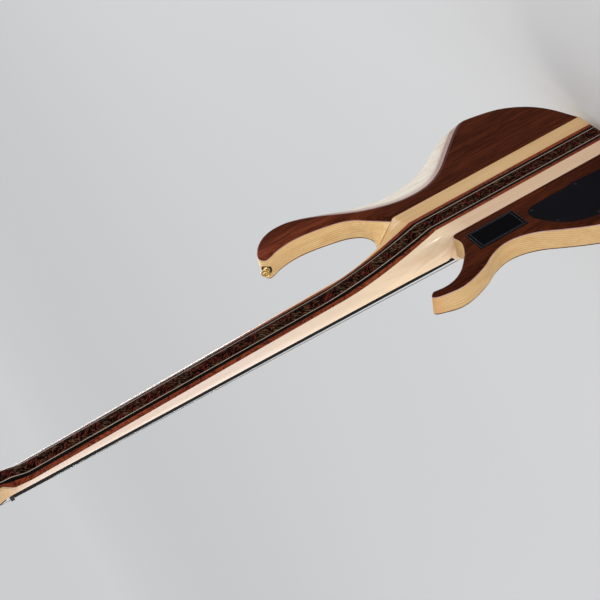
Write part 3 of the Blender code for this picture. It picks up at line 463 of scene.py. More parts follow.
def times(tree, first, second):
    return calc(tree, "MULTIPLY", first, second)


def vector(tree, operation, first, second):
    return add(tree, "VectorMath", {0: first, 1: second}, operation=operation).outputs[0]


def spot_on(tree):
    """The shaded place on the piece, in the part's own lengths."""
    return add(tree, "TexCoord").outputs["Object"]


def split(tree, value):
    return add(tree, "SeparateXYZ", {0: value}).outputs


def blend_colour(tree, share, first, second, mode="MIX"):
    item = add(tree, "Mix", {0: share, 6: first, 7: second}, data_type="RGBA", blend_type=mode)
    return item.outputs[2]


def shape_range(tree, value, low, high, new_low=0.0, new_high=1.0):
    return add(tree, "MapRange", {"Value": value, "From Min": low, "From Max": high,
                                  "To Min": new_low, "To Max": new_high}).outputs["Result"]


def effect_group(name, inputs, outputs):
    """An empty shader node group with named inputs and outputs."""
    tree = bpy.data.node_groups.new(name, "ShaderNodeTree")
    for label, value in inputs.items():
        kind = "NodeSocketVector" if isinstance(value, tuple) else "NodeSocketFloat"
        tree.interface.new_socket(label, in_out="INPUT", socket_type=kind).default_value = value
    for label in outputs:
        tree.interface.new_socket(label, in_out="OUTPUT", socket_type="NodeSocketFloat")
    return tree, tree.nodes.new("NodeGroupInput").outputs, tree.nodes.new("NodeGroupOutput")


def wire(item, values):
    """Wire values into the named inputs of a node."""
    for key, value in values.items():
        item.id_data.links.new(value, item.inputs[key])


def use(tree, group, **values):
    item = tree.nodes.new("ShaderNodeGroup")
    item.node_tree = group
    for key, value in values.items():
        item.inputs[key].default_value = value
    return item.outputs


# Grain: long streaks and fine pores that run with the wood
grain, given, results = effect_group(
    "grain", {"Across": 200.0, "Along": 8.0, "Wander": 0.004, "Place": (0.0, 0.0, 0.0)},
    ["Streak", "Fine", "Pores"])
moved = vector(grain, "ADD", spot_on(grain), given["Place"])
drift = add(grain, "TexNoise", {"Vector": moved, "Scale": 11.0, "Detail": 2.0})
push = vector(grain, "SUBTRACT", drift.outputs["Color"], (0.5, 0.5, 0.5))
push = add(grain, "VectorMath", {0: push, "Scale": given["Wander"]}, operation="SCALE").outputs[0]
moved = vector(grain, "ADD", moved, push)
stretch = add(grain, "CombineXYZ", {0: given["Across"], 1: given["Across"], 2: given["Along"]})
laid = vector(grain, "MULTIPLY", moved, stretch.outputs[0])
streak = add(grain, "TexNoise", {"Vector": laid, "Scale": 1.0, "Detail": 3.0, "Roughness": 0.62})
finer = vector(grain, "MULTIPLY", laid, (5.0, 5.0, 3.0))
fine = add(grain, "TexNoise", {"Vector": finer, "Scale": 1.0, "Detail": 2.0})
dashes = vector(grain, "MULTIPLY", moved, (1500.0, 1500.0, 110.0))
pores = add(grain, "TexNoise", {"Vector": dashes, "Scale": 1.0, "Detail": 1.0})
wire(results, {"Streak": streak.outputs[0], "Fine": fine.outputs[0],
               "Pores": shape_range(grain, pores.outputs[0], 0.60, 0.72)})

# Growth rings: the yearly layers of a flat-sawn board, seen as lines on its sides
rings_group, given, results = effect_group(
    "growth_rings", {"Spacing": 0.0022, "Wobble": 0.006, "Centre": (0.0, -0.2, 0.0)}, ["Ring"])
from_heart = vector(rings_group, "SUBTRACT", spot_on(rings_group), given["Centre"])
flat = vector(rings_group, "MULTIPLY", from_heart, (0.55, 1.0, 0.05))
slow = vector(rings_group, "MULTIPLY", spot_on(rings_group), (10.0, 16.0, 8.0))
wave = add(rings_group, "TexNoise", {"Vector": slow, "Scale": 1.0, "Detail": 2.0,
                                     "Roughness": 0.5})
bend = times(rings_group, calc(rings_group, "SUBTRACT", wave.outputs[0], 0.5), given["Wobble"])
length = add(rings_group, "VectorMath", {0: flat}, operation="LENGTH").outputs["Value"]
layer = calc(rings_group, "DIVIDE", calc(rings_group, "ADD", length, bend), given["Spacing"])
layer = calc(rings_group, "FRACT", layer)
late = shape_range(rings_group, layer, 0.45, 0.95)
early = shape_range(rings_group, layer, 1.0, 0.95)
wire(results, {"Ring": times(rings_group, late, early)})

# Mottle: short slanted flecks, turning one way and the other along the strip
mottle, given, results = effect_group(
    "mottle", {"Size": 420.0, "Slant": 1.0, "Patch": 38.0}, ["Fleck", "Patches"])
x, y, z = split(mottle, spot_on(mottle))
patch = add(mottle, "TexNoise", {"Vector": spot_on(mottle), "Scale": given["Patch"], "Detail": 1.0})
turn_way = shape_range(mottle, patch.outputs[0], 0.46, 0.54, -1.0, 1.0)
lean = times(mottle, times(mottle, x, given["Slant"]), turn_way)
laid = add(mottle, "CombineXYZ", {
    0: times(mottle, x, 210.0), 1: times(mottle, y, 210.0),
    2: times(mottle, calc(mottle, "ADD", z, lean), given["Size"])})
fleck = add(mottle, "TexNoise", {"Vector": laid.outputs[0], "Scale": 1.0, "Detail": 1.5,
                                 "Roughness": 0.55})
wire(results, {"Fleck": shape_range(mottle, fleck.outputs[0], 0.52, 0.58),
               "Patches": patch.outputs[0]})


def new_material(name, roughness=0.4, metallic=0.0, specular=0.5):
    material = bpy.data.materials.new(name)
    material.use_nodes = True
    shader = material.node_tree.nodes["Principled BSDF"]
    shader.inputs["Roughness"].default_value = roughness
    shader.inputs["Metallic"].default_value = metallic
    shader.inputs["Specular IOR Level"].default_value = specular
    return material, material.node_tree, shader


def relief(tree, height, strength, depth):
    bump = add(tree, "Bump", {"Height": height, "Strength": strength, "Distance": depth})
    return bump.outputs[0]


def oiled_wood(name, light, dark, across=200.0, along=8.0, contrast=(0.35, 0.7), pores=0.25,
               seed=0.0, roughness=0.36, wander=0.004, specular=0.4):
    """Straight-grained wood under a thin satin oil."""
    material, tree, shader = new_material(name, specular=specular)
    marks = use(tree, grain, Across=across, Along=along, Wander=wander,
                Place=(seed, seed * 0.7, seed * 1.3))
    colour = blend_colour(tree, shape_range(tree, marks["Streak"], *contrast), light, dark)
    deep = tuple(0.45 * value for value in dark[:3]) + (1.0,)
    colour = blend_colour(tree, times(tree, marks["Pores"], pores), colour, deep)
    wire(shader, {
        "Base Color": colour,
        "Roughness": shape_range(tree, marks["Fine"], 0.3, 0.7, roughness - 0.05, roughness + 0.07),
        "Normal": relief(tree, marks["Fine"], 0.35, 0.00006)})
    return material, tree, shader, colour


maple_bass_wood = oiled_wood("maple_bass", tint(219, 180, 128), tint(203, 160, 107), 150, 5,
                             (0.3, 0.75), 0.10, 1.7, 0.33)[0]
maple_treble_wood, tree, shader, colour = oiled_wood(
    "maple_treble", tint(222, 189, 156), tint(213, 176, 142), 150, 5, (0.35, 0.8), 0.08, 4.1, 0.22)
marks = use(tree, grain, Across=150.0, Along=5.0, Place=(4.1, 2.9, 5.3))
# Painted light: from the heel to the nut the treble maple is painted paler than on the body, as if
# the neck caught more light; towards the nut it also turns pinker.
height = split(tree, spot_on(tree))[2]
pinker = shape_range(tree, height, -0.55, -0.35)
painted_neck_light = blend_colour(tree, shape_range(tree, marks["Streak"], 0.35, 0.8),
                     blend_colour(tree, pinker, tint(248, 222, 188), tint(250, 229, 212)),
                     blend_colour(tree, pinker, tint(240, 210, 172), tint(241, 216, 196)))
colour = blend_colour(tree, shape_range(tree, height, -0.68, -0.63), colour, painted_neck_light)
gloss = shader.inputs["Roughness"].links[0].from_socket
# Painted shade: from the volute onto the headstock the treble maple is painted a darker
# orange-brown; its finish also grows rougher there.
wire(shader, {
    "Base Color": blend_colour(tree, shape_range(tree, height, -0.030, 0.006), colour,
                               tint(206, 170, 126)),
    "Roughness": calc(tree, "ADD", gloss, shape_range(tree, height, -0.10, 0.0, 0.0, 0.22))})
black_wood = oiled_wood("black_lamination", tint(15, 10, 8), tint(8, 6, 5), 260, 10,
                        (0.3, 0.7), 0.2, 2.2, 0.38, specular=0.03)[0]
pale_veneer = oiled_wood("pale_veneer", tint(176, 160, 144), tint(150, 134, 116), 300, 10,
                         (0.3, 0.7), 0.1, 3.2, 0.36)[0]
red_wood, tree, shader, colour = oiled_wood(
    "red_brown_lamination", tint(150, 69, 38), tint(104, 39, 21), 260, 9, (0.3, 0.7), 0.3, 5.3, 0.36,
    specular=0.06)
flecks = use(tree, mottle, Size=380.0, Slant=1.2, Patch=30.0)
wire(shader, {"Base Color": blend_colour(tree, times(tree, flecks["Fleck"], 0.85), colour,
                                         tint(60, 19, 12))})
core_wood, tree, shader, colour = oiled_wood(
    "dark_core", tint(17, 6, 3), tint(6, 2, 1), 320, 14, (0.35, 0.65), 0.2, 7.9, 0.38,
    specular=0.01)
flecks = use(tree, mottle, Size=480.0, Slant=1.0, Patch=60.0)
warm = blend_colour(tree, shape_range(tree, flecks["Patches"], 0.40, 0.60), tint(112, 46, 36),
                    tint(112, 80, 58))
wire(shader, {"Base Color": blend_colour(tree, times(tree, flecks["Fleck"], 0.66), colour, warm)})


def head_outline(inset=0.0, steps=8):
    """Outline of the headstock in its own frame, bass corner to treble corner."""
    points = HEAD_CHEEK + [(x, HEAD_LENGTH - drop) for x, drop in HEAD_CROWN]
    half = [p.to_tuple() for p in curve_through(points, steps)]
    left = [(-max(x - inset, 0.0), up - inset * (up > 0.15)) for x, up in half]
    return left + [(-x, up) for x, up in left[-2::-1]]


WIDE = BLOCK_HALF + 0.03
HEAD_FOOT = HEAD_CHEEK[0][1]
trim_outline = [(-WIDE, HEAD_FOOT)] + head_outline()
trim_outline += [(WIDE, HEAD_FOOT), (WIDE, HEAD_LENGTH + 0.04), (-WIDE, HEAD_LENGTH + 0.04)]
trim = prism("trim", trim_outline, -0.03, 0.06)
trim.data.transform(head)
cutters = [trim]
for name, (side, up) in TUNERS.items():
    hole = rod("hole", BUSH_RADIUS + RUN, 0.04, (side * TUNER_X, -0.01, up), (0, 1, 0), 32)
    hole.data.transform(head)
    cutters.append(hole)
BOARD_THICKNESS = 0.0069
FRET_HEIGHT = 0.0011
ACTION_NUT = 0.0018
ACTION_LAST = 0.0028
STRING_ROOM = 0.0035
BOARD_TOP = JOINT_Y - BOARD_THICKNESS
SADDLE_TOP = BOARD_TOP - FRET_HEIGHT - ACTION_LAST
pickup_y = {}
for name, up in PICKUP_UP.items():
    under_string = mix(BOARD_TOP - ACTION_NUT, SADDLE_TOP, (TAIL + up) / -STRING_LENGTH)
    pickup_y[name] = (under_string + STRING_ROOM, under_string + STRING_ROOM + PICKUP[2])


def pickup_route(name):
    """The pocket that a pickup drops into, a little larger than its cover."""
    half_x, half_z = PICKUP[0] / 2 + ROUTE_GAP, PICKUP[1] / 2 + ROUTE_GAP
    z = TAIL + PICKUP_UP[name]
    return box("route", (-half_x, -0.07, z - half_z), (half_x, pickup_y[name][1] + RUN, z + half_z))


cutters += [pickup_route(name) for name in PICKUP_UP]
blank_cutter = join("blank_cutter", cutters)

STRIPS = {  # inner edge, outer edge, columns on the back, wood, slot of the finish
    "line": (CORE_HALF, LINE_EDGE, 3, pale_veneer, "pale_line"),
    "black": (LINE_EDGE, BLACK_EDGE, 5, black_wood, "black_line"),
    "red": (BLACK_EDGE, RED_EDGE, 6, red_wood, "red_brown_wood"),
}
SIDES = {"bass": -1, "treble": 1}
stations = blank_stations()
core = loft("core_strip", [strip_ring(-CORE_HALF, CORE_HALF, z, front, top, 15)
                           for z, front, top in stations])
carve(core, blank_cutter, keep=True)
dress(ease(core), core_wood, stands_for=["neck_core"])
for side_name, side in SIDES.items():
    for layer, (inner, outer, columns, wood, slot) in STRIPS.items():
        low, high = sorted((side * inner, side * outer))
        strip = loft(f"{layer}_strip_{side_name}", [
            strip_ring(low, high, z, front, top, columns) for z, front, top in stations])
        carve(strip, blank_cutter, keep=True)
        dress(ease(strip), wood, stands_for=[f"neck_{layer}_{side_name}"])
    strip = loft(f"maple_strip_{side_name}", [
        outer_ring(side, z, front, top) for z, front, top in stations])
    carve(strip, blank_cutter, keep=True)
    dress(ease(strip), maple_bass_wood if side < 0 else maple_treble_wood,
          stands_for=[f"neck_maple_{side_name}"])
bpy.data.objects.remove(blank_cutter, do_unlink=True)

# Fingerboard: a black wood board glued on the neck's front, crowned across, its edges rolled so
# that the hand slides over them. Small pale dots mark the frets on the bass edge.
BOARD_CROWN = 0.0012
BOARD_ROLL = 0.0011
DOT_SPACING = 0.006
MARKED_FRETS = {3: 1, 5: 1, 7: 1, 9: 1, 12: 2, 15: 1, 17: 1, 19: 1, 21: 1, 24: 2}


def crown_y(share):
    return BOARD_TOP + BOARD_CROWN * share ** 2


def board_ring(z):
    width = half_width(z)
    ring = [(width, JOINT_Y, z)]
    for k in range(7):
        angle = math.pi / 2 * k / 6
        ring.append((width - BOARD_ROLL * (1 - math.cos(angle)),
                     crown_y(1) + BOARD_ROLL * (1 - math.sin(angle)), z))
    for k in range(1, 12):
        share = mix(0.93, -0.93, k / 12)
        ring.append((share * width, crown_y(share), z))
    return ring + [(-x, y, z) for x, y, z in ring[7::-1]]


def fret_z(number):
    return -STRING_LENGTH * (1 - 2 ** (-number / 12))


ebony = oiled_wood("black_fingerboard", tint(24, 21, 20), tint(12, 11, 11), 260, 12, (0.3, 0.7),
                   0.35, 9.4, 0.40, specular=0.15)[0]
board_steps = [-0.0003 + (BOARD_END + 0.0003) * k / 40 for k in range(41)]
dress(ease(loft("fingerboard_blank", [board_ring(z) for z in board_steps])), ebony,
      stands_for=["fingerboard"])

dots = []
for number, count in MARKED_FRETS.items():
    middle_z = (fret_z(number) + fret_z(number - 1)) / 2
    for k in range(count):
        z = middle_z + (k - (count - 1) / 2) * DOT_SPACING
        dots.append(lathe("dot", [(0.0011, 0), (0.0011, 0.0006), (0.0008, 0.0008)],
                          (-half_width(z) + 0.0006, JOINT_Y - 0.0030, z), (-1, 0, 0), 20))
pearl, tree, shader = new_material("side_dot_pearl", 0.35)
marks = use(tree, grain, Across=900.0, Along=900.0)
wire(shader, {"Base Color": blend_colour(tree, marks["Streak"], tint(236, 232, 220),
                                         tint(206, 200, 186))})
dress(join("side_dots", dots), pearl)

# Frets: twenty-four lengths of nickel silver wire with a rounded crown, pressed into slots and
# filed off at a slant at both ends.
FRET_HALF = 0.0012
FRET_INSET = 0.0003

metal_marks, given, results = effect_group(
    "metal_marks", {"Size": 900.0, "Smudge": 60.0}, ["Scratch", "Haze"])
lines = vector(metal_marks, "MULTIPLY", spot_on(metal_marks), (1.0, 1.0, 0.12))
scratch = add(metal_marks, "TexNoise", {"Vector": lines, "Scale": given["Size"], "Detail": 3.0})
haze = add(metal_marks, "TexNoise", {"Vector": spot_on(metal_marks), "Scale": given["Smudge"],
                                     "Detail": 3.0})
wire(results, {"Scratch": scratch.outputs[0], "Haze": haze.outputs[0]})


def worked_metal(name, colour, dull, roughness, size=900.0):
    """Plated or polished metal with a faint haze and fine polishing lines."""
    material, tree, shader = new_material(name, metallic=1.0)
    marks = use(tree, metal_marks, Size=size)
    gloss = shape_range(tree, marks["Haze"], 0.3, 0.7, roughness - 0.06, roughness + 0.08)
    lines = shape_range(tree, marks["Scratch"], 0.3, 0.7, -0.03, 0.03)
    wire(shader, {
        "Base Color": blend_colour(tree, shape_range(tree, marks["Haze"], 0.35, 0.7), colour, dull),
        "Roughness": calc(tree, "ADD", gloss, lines),
        "Normal": relief(tree, marks["Scratch"], 0.2, 0.00002)})
    return material


fret_wire = worked_metal("fret_wire", tint(196, 194, 190), tint(170, 168, 164), 0.24)
for number in range(1, FRETS + 1):
    z = fret_z(number)
    width = half_width(z) - FRET_INSET
    rings = []
    for k in range(25):
        share = mix(-1, 1, k / 24)
        ends = 1 - abs(share)
        lift = FRET_HEIGHT * min(1.0, 0.15 + ends * width / FRET_HEIGHT * 0.9)
        base = crown_y(share) + (BOARD_ROLL * 0.5 if ends == 0 else 0.0)
        arch = [(math.cos(math.pi * j / 8), math.sin(math.pi * j / 8)) for j in range(9)]
        rings.append([(share * width, base - lift * up, z + FRET_HALF * across)
                      for across, up in arch] + [(share * width, base + 0.0006, z - FRET_HALF),
                                                 (share * width, base + 0.0006, z + FRET_HALF)])
    dress(loft(f"fret_{number:02d}", rings, 50), fret_wire)

# Nut: a strip of black composite glued across the end of the fingerboard, filed with five
# slots that set the strings' spacing and height.
STRING_RADII = [0.00165, 0.00134, 0.00108, 0.00083, 0.00057]
NUT_SPREAD = 0.036
BRIDGE_SPREAD = 0.072
strings_x = [(mix(-NUT_SPREAD, NUT_SPREAD, i / 4) / 2, mix(-BRIDGE_SPREAD, BRIDGE_SPREAD, i / 4) / 2)
             for i in range(5)]


def moulded(name, colour, worn, roughness=0.45, size=700.0, depth=0.00004, specular=0.3):
    """Moulded or cut plastic with a fine even grain."""
    material, tree, shader = new_material(name, specular=specular)
    marks = use(tree, metal_marks, Size=size, Smudge=35.0)
    wire(shader, {
        "Base Color": blend_colour(tree, shape_range(tree, marks["Haze"], 0.4, 0.75), colour, worn),
        "Roughness": shape_range(tree, marks["Haze"], 0.3, 0.7, roughness - 0.06, roughness + 0.08),
        "Normal": relief(tree, marks["Scratch"], 0.3, depth)})
    return material


nut_black = moulded("nut_composite", tint(30, 30, 31), tint(44, 44, 45), 0.4)
nut = box("nut_strip", (-NUT_WIDTH / 2, BOARD_TOP - ACTION_NUT, 0.0),
          (NUT_WIDTH / 2, JOINT_Y - 0.0001, NUT_LENGTH))
nut_slots = [rod("slot", radius + 0.00005, 0.012,
                 (nut_x, BOARD_TOP - ACTION_NUT - radius * 0.4, -0.003), (0, 0, 1), 24)
             for radius, (nut_x, _) in zip(STRING_RADII, strings_x)]
carve(nut, join("nut_slots", nut_slots))
dress(ease(nut, 0.0004, 3), nut_black, stands_for=["nut"])

# Truss rod: a steel rod in a channel under the fingerboard, adjusted at the headstock under a
# small pointed plastic cover held by three screws.
HEAD_FACE = 0.0018


def paint_solid(node, material):
    """Give a hidden piece, which keeps its plain solid, its real finish."""
    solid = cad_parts[node].data
    solid.materials.clear()
    solid.materials.append(material)


steel = worked_metal("rod_steel", tint(172, 172, 174), tint(140, 140, 142), 0.34)
paint_solid("truss_rod", steel)
black_plastic = moulded("black_plastic", tint(17, 17, 20), tint(27, 27, 31), 0.42, specular=0.2)
ROD_COVER_THICKNESS = 0.0015
cover_face = -HEAD_FACE - 2 * RUN
cover_front = cover_face - ROD_COVER_THICKNESS


def on_head(piece):
    piece.data.transform(head)
    return piece


def screw_head(name, radius, start, direction, height=0.0011, slot=0.62):
    """A domed screw head with a cross cut into it."""
    profile = [(radius, 0), (radius, height * 0.35)]
    profile += [(radius * math.cos(a), height * (0.35 + 0.65 * math.sin(a)))
                for a in (math.pi / 2 * k / 6 for k in range(1, 6))]
    piece = lathe(name, profile + [(0, height)], (0, 0, 0), (0, 0, 1), 32)
    reach, half = radius * slot, radius * 0.13
    for size in ((reach, half), (half, reach)):
        carve(piece, box("cross", (-size[0], -size[1], height * 0.3), (*size, height * 1.5)))
    turn = Vector((0, 0, 1)).rotation_difference(Vector(direction)).to_matrix().to_4x4()
    piece.data.transform(Matrix.Translation(Vector(start)) @ turn)
    return piece


dark_steel = worked_metal("blackened_steel", tint(52, 52, 56), tint(36, 36, 40), 0.36)
rod_cover = prism("rod_cover", [(-0.0085, 0.0015), (0.0085, 0.0015), (0.0085, 0.024), (0, 0.036),
                                (-0.0085, 0.024)], cover_front, cover_face)
dress(on_head(ease(rod_cover, 0.0004, 3)), black_plastic,
      stands_for=["truss_rod_cover"])
for k, (x, up) in enumerate(((-0.0058, 0.0045), (0.0058, 0.0045), (0, 0.0305))):
    screw = screw_head(f"rod_cover_screw_{k + 1}", 0.0013, (x, cover_front, up), (0, -1, 0))
    dress(on_head(screw), dark_steel)

# Headstock face: a dark walnut veneer glued on the front of the headstock, with the same grain
# as the body's plates.
walnut, tree, shader, colour = oiled_wood(
    "walnut", tint(77, 31, 13), tint(38, 13, 5), 300, 6, (0.32, 0.68), 0.75, 3.3, 0.40, 0.006,
    specular=0.02)
marks = use(tree, grain, Across=46.0, Along=3.0, Wander=0.02, Place=(7.3, 1.1, 2.9))
broad = shape_range(tree, marks["Streak"], 0.38, 0.62)
colour = blend_colour(tree, times(tree, broad, 0.40), colour, tint(96, 45, 23))
speck = shape_range(tree, marks["Fine"], 0.50, 0.66)
colour = blend_colour(tree, times(tree, speck, 0.35), colour, tint(44, 14, 8))
ticks = use(tree, grain, Across=520.0, Along=34.0, Place=(1.9, 5.2, 0.7))
grain_tone_and_side_light = blend_colour(tree, shape_range(tree, ticks["Streak"], 0.36, 0.64),
                    (0.66, 0.64, 0.62, 1.0), (1.34, 1.36, 1.38, 1.0))
colour = blend_colour(tree, 1.0, colour, grain_tone_and_side_light, "MULTIPLY")
# Painted light: on the bass horn the walnut is painted lighter and redder, broken by its broad
# streaks, as if that part caught more light.
x, y, z = split(tree, spot_on(tree))
on_horn = times(tree, shape_range(tree, z, -0.66, -0.46), shape_range(tree, x, -0.06, -0.10))
horn_painted_light = times(tree, on_horn, shape_range(tree, marks["Streak"], 0.40, 0.60, 0.12, 0.62))
red = blend_colour(tree, 0.8, tint(158, 76, 50), grain_tone_and_side_light, "MULTIPLY")
wire(shader, {"Base Color": blend_colour(tree, horn_painted_light, colour, red)})
face = prism("face_veneer", head_outline(0.0002), -HEAD_FACE - RUN, -0.0001)
holes = [box("mouth", (-0.0033, -0.01, -0.01), (0.0033, 0.01, 0.022))]
for side, up in TUNERS.values():
    holes.append(rod("hole", BUSH_RADIUS + RUN, 0.02, (side * TUNER_X, -0.01, up), (0, 1, 0), 32))
carve(face, join("face_holes", holes))
dress(on_head(ease(face, 0.0003, 2)), walnut, stands_for=["headstock_face"])

# Tuners: sealed worm gears in plated cases behind the headstock. A threaded bush comes through
# the wood to a washer on the face, the slotted post turns in it, and the key turns the worm.
POST_RADIUS = 0.0045
POST_HEIGHT = 0.0200
HOUSING = (0.0240, 0.0090, 0.0300)
KEY_OFFSET = 0.0085
KEY_RADIUS = 0.0022
KEY_REACH = 0.0240
KEY_SUNK = 0.006
PADDLE = (0.0140, 0.0070, 0.0240)
CASE_SCREW_IN = 0.0070
CASE_SCREW_UP = 0.0115
WAIST_DROP = 0.011
case_back = HEAD_THICKNESS + RUN
bush_top = -HEAD_FACE - 2 * RUN
post_foot = case_back + HOUSING[1] * 0.45
key_y = case_back + HOUSING[1] * 0.5
gold = worked_metal("gold_plate", tint(208, 174, 114), tint(184, 150, 92), 0.2, 1100.0)


def rounded_block(name, size, centre, width, segments=4):
    centre, half = Vector(centre), Vector(size) / 2
    return ease(box(name, centre - half, centre + half), width, segments)


for name, (side, up) in TUNERS.items():
    x = side * TUNER_X
    case = rounded_block(f"tuner_case_{name}", HOUSING, (x, case_back + HOUSING[1] / 2, up), 0.0024)
    bush_length = case_back - bush_top
    bush = lathe("bush", [
        (BUSH_RADIUS, -0.002), (BUSH_RADIUS, bush_length),
        (BUSH_RADIUS + 0.0012, bush_length), (BUSH_RADIUS + 0.0012, bush_length + 0.0010),
        (BUSH_RADIUS + 0.0006, bush_length + 0.0016), (BUSH_RADIUS - 0.0006, bush_length + 0.0022),
        (BUSH_RADIUS - 0.0012, bush_length + 0.0024)],
        (x, case_back, up), (0, -1, 0), 48)
    carve(case, bush, operation="UNION")
    post_bore = rod("bore", POST_RADIUS + RUN, 0.05, (x, post_foot + RUN, up), (0, -1, 0), 36)
    key_up = up - KEY_OFFSET
    key_bore = rod("bore", KEY_RADIUS + RUN, 0.04, (x - side * KEY_SUNK, key_y, key_up),
                   (side, 0, 0), 28)
    carve(case, post_bore, key_bore)
    dress(on_head(ease(case)), gold, stands_for=[f"tuner_housing_{name}"])
    for k, spot in enumerate((-CASE_SCREW_UP, CASE_SCREW_UP)):
        screw = screw_head(f"tuner_screw_{name}_{k + 1}", 0.0016, (
            x - side * CASE_SCREW_IN, case_back + HOUSING[1] - 0.0002, up + spot), (0, 1, 0))
        dress(on_head(screw), gold)

    length = post_foot - bush_top + POST_HEIGHT
    waist = length - WAIST_DROP
    slim = POST_RADIUS - 0.0008
    post = lathe(f"post_{name}", [
        (POST_RADIUS, 0), (POST_RADIUS, waist - 0.004), (slim + 0.0003, waist - 0.0012),
        (slim, waist), (slim, waist + 0.005), (slim + 0.0004, waist + 0.0062),
        (POST_RADIUS, waist + 0.0078), (POST_RADIUS, length - 0.0012),
        (POST_RADIUS - 0.0004, length - 0.0003), (POST_RADIUS - 0.0012, length)],
        (x, post_foot, up), (0, -1, 0), 36)
    top_y = post_foot - length
    carve(post, box("slot", (x - 0.0011, top_y - 0.001, up - 0.01),
                    (x + 0.0011, top_y + 0.005, up + 0.01)),
          rod("hole", 0.0016, 0.004, (x, top_y - 0.001, up), (0, 1, 0), 20))
    dress(on_head(ease(post)), gold, f"tuner_post_{name}", [f"tuner_post_{name}"])

    shaft_start = x - side * (KEY_SUNK - RUN)
    key = lathe(f"key_{name}", [
        (KEY_RADIUS, 0), (KEY_RADIUS, 0.0185), (KEY_RADIUS + 0.0016, 0.0188),
        (KEY_RADIUS + 0.0016, 0.0206), (KEY_RADIUS + 0.0002, 0.0212), (KEY_RADIUS, KEY_REACH)],
        (shaft_start, key_y, key_up), (side, 0, 0), 32)
    bm = bmesh.new()
    bmesh.ops.create_uvsphere(bm, u_segments=32, v_segments=20, radius=1.0)
    paddle_x = shaft_start + side * (KEY_REACH + PADDLE[0] / 2 - 0.002)
    for vert in bm.verts:
        x_in, y_in, z_in = vert.co
        pinch = 1 - 0.38 * math.exp(-(z_in / 0.34) ** 2)
        vert.co = (paddle_x + PADDLE[0] / 2 * math.copysign(abs(x_in) ** 0.75, x_in) * pinch,
                   key_y + PADDLE[1] / 2 * math.copysign(abs(y_in) ** 0.8, y_in),
                   key_up + PADDLE[2] / 2 * math.copysign(abs(z_in) ** 0.85, z_in))
    carve(key, finish_mesh(bm, "paddle", 60), operation="UNION", sharp=60)
    dress(on_head(ease(key)), gold, f"tuner_key_{name}", [f"tuner_key_{name}"])

# Body wings: each is an ash core between walnut back and top plates, with a thin mauve veneer
# showing at the back glue line. The edges are rounded over, and a belly contour is carved into the
# bass wing, so that the veneer shows as a feathered line there.
BACK_PLATE = 0.004
TOP_PLATE = 0.004
VENEER = 0.0011
TIP_SHARE = 0.34
OUTLINE_STEPS = 8
# Each wing's edge: distance from the middle, height above the tail, and how far the point moves
# down from the front of the body to its back where the edge leans
TREBLE_OUTLINE = [
    (0.0615, 0.2712), (0.0803, 0.2795), (0.0946, 0.2907), (0.1089, 0.3048), (0.1180, 0.3205),
    (0.1213, 0.3370), (0.1200, 0.3500, 0.001), (0.1202, 0.3580, 0.003), (0.1252, 0.3618, 0.003),
    (0.1303, 0.3552, 0.002), (0.1335, 0.3395), (0.1355, 0.3200), (0.1318, 0.3005), (0.1220, 0.2760),
    (0.1100, 0.2560), (0.1030, 0.2340), (0.1045, 0.2120), (0.1150, 0.1870), (0.1330, 0.1620),
    (0.1500, 0.1380), (0.1620, 0.1160), (0.1680, 0.0860), (0.1645, 0.0560), (0.1490, 0.0310),
    (0.1200, 0.0140), (0.0800, 0.0045),
]
BASS_OUTLINE = [
    (0.0580, 0.3395, 0.016), (0.0715, 0.3400, 0.003), (0.0835, 0.3475), (0.0945, 0.3645),
    (0.1025, 0.3910), (0.1075, 0.4160), (0.1085, 0.4370), (0.1050, 0.4590), (0.0995, 0.4720),
    (0.0985, 0.4810), (0.1070, 0.4855), (0.1190, 0.4825), (0.1330, 0.4720), (0.1440, 0.4560),
    (0.1480, 0.4340), (0.1420, 0.4000), (0.1282, 0.3680), (0.1105, 0.3240), (0.1035, 0.2840),
    (0.1085, 0.2520), (0.1180, 0.2230), (0.1325, 0.2005), (0.1485, 0.1770), (0.1595, 0.1540),
    (0.1620, 0.1290), (0.1573, 0.1000), (0.1455, 0.0660), (0.1220, 0.0370), (0.0910, 0.0170),
]
BELLY_EDGE = [
    (0.442, 0.1510), (0.410, 0.1380), (0.380, 0.1205), (0.334, 0.0880), (0.289, 0.0685),
    (0.255, 0.0645), (0.228, 0.0700), (0.204, 0.0845), (0.183, 0.1035), (0.159, 0.1265),
    (0.135, 0.1475), (0.111, 0.1615), (0.080, 0.1700),
]
BELLY_SCOOP = [(0.0, 0.0), (0.006, 0.0032), (0.014, 0.0066), (0.026, 0.0100), (0.060, 0.0150)]
LEVELS = [0.0, 0.03, 0.10, 0.21, 0.35, 0.52, 0.72, 1.0]
TIP_THIN = 0.13
TIP_FROM = 0.325
TIP_RUN = 0.035


def round_inset(depth):
    if depth >= EDGE_ROUND:
        return 0.0
    return EDGE_ROUND - math.sqrt(EDGE_ROUND ** 2 - (EDGE_ROUND - depth) ** 2)


def wing_outline(side):
    joint = BLOCK_HALF
    if side > 0:
        points = [(joint, HEEL_TREBLE)] + TREBLE_OUTLINE
    else:
        points = [(joint, HEEL_FOOT_BASS, HEEL_FOOT_BASS - HEEL_BASS)] + BASS_OUTLINE
    points = [(*point, 0)[:3] for point in points + [(joint, 0.0005)]]
    return curve_through(points, OUTLINE_STEPS)


wing_outlines = {side: wing_outline(side) for side in (-1, 1)}
tip_room = {}
for side, points in wing_outlines.items():
    flat = [p.to_2d() for p in points]
    tip_room[side] = []
    for i, point in enumerate(flat):
        across = min((point - other).length for k, other in enumerate(flat)
                     if abs(i - k) >= 2 * OUTLINE_STEPS)
        tip_room[side].append(min(1.0, TIP_SHARE * across / EDGE_ROUND))


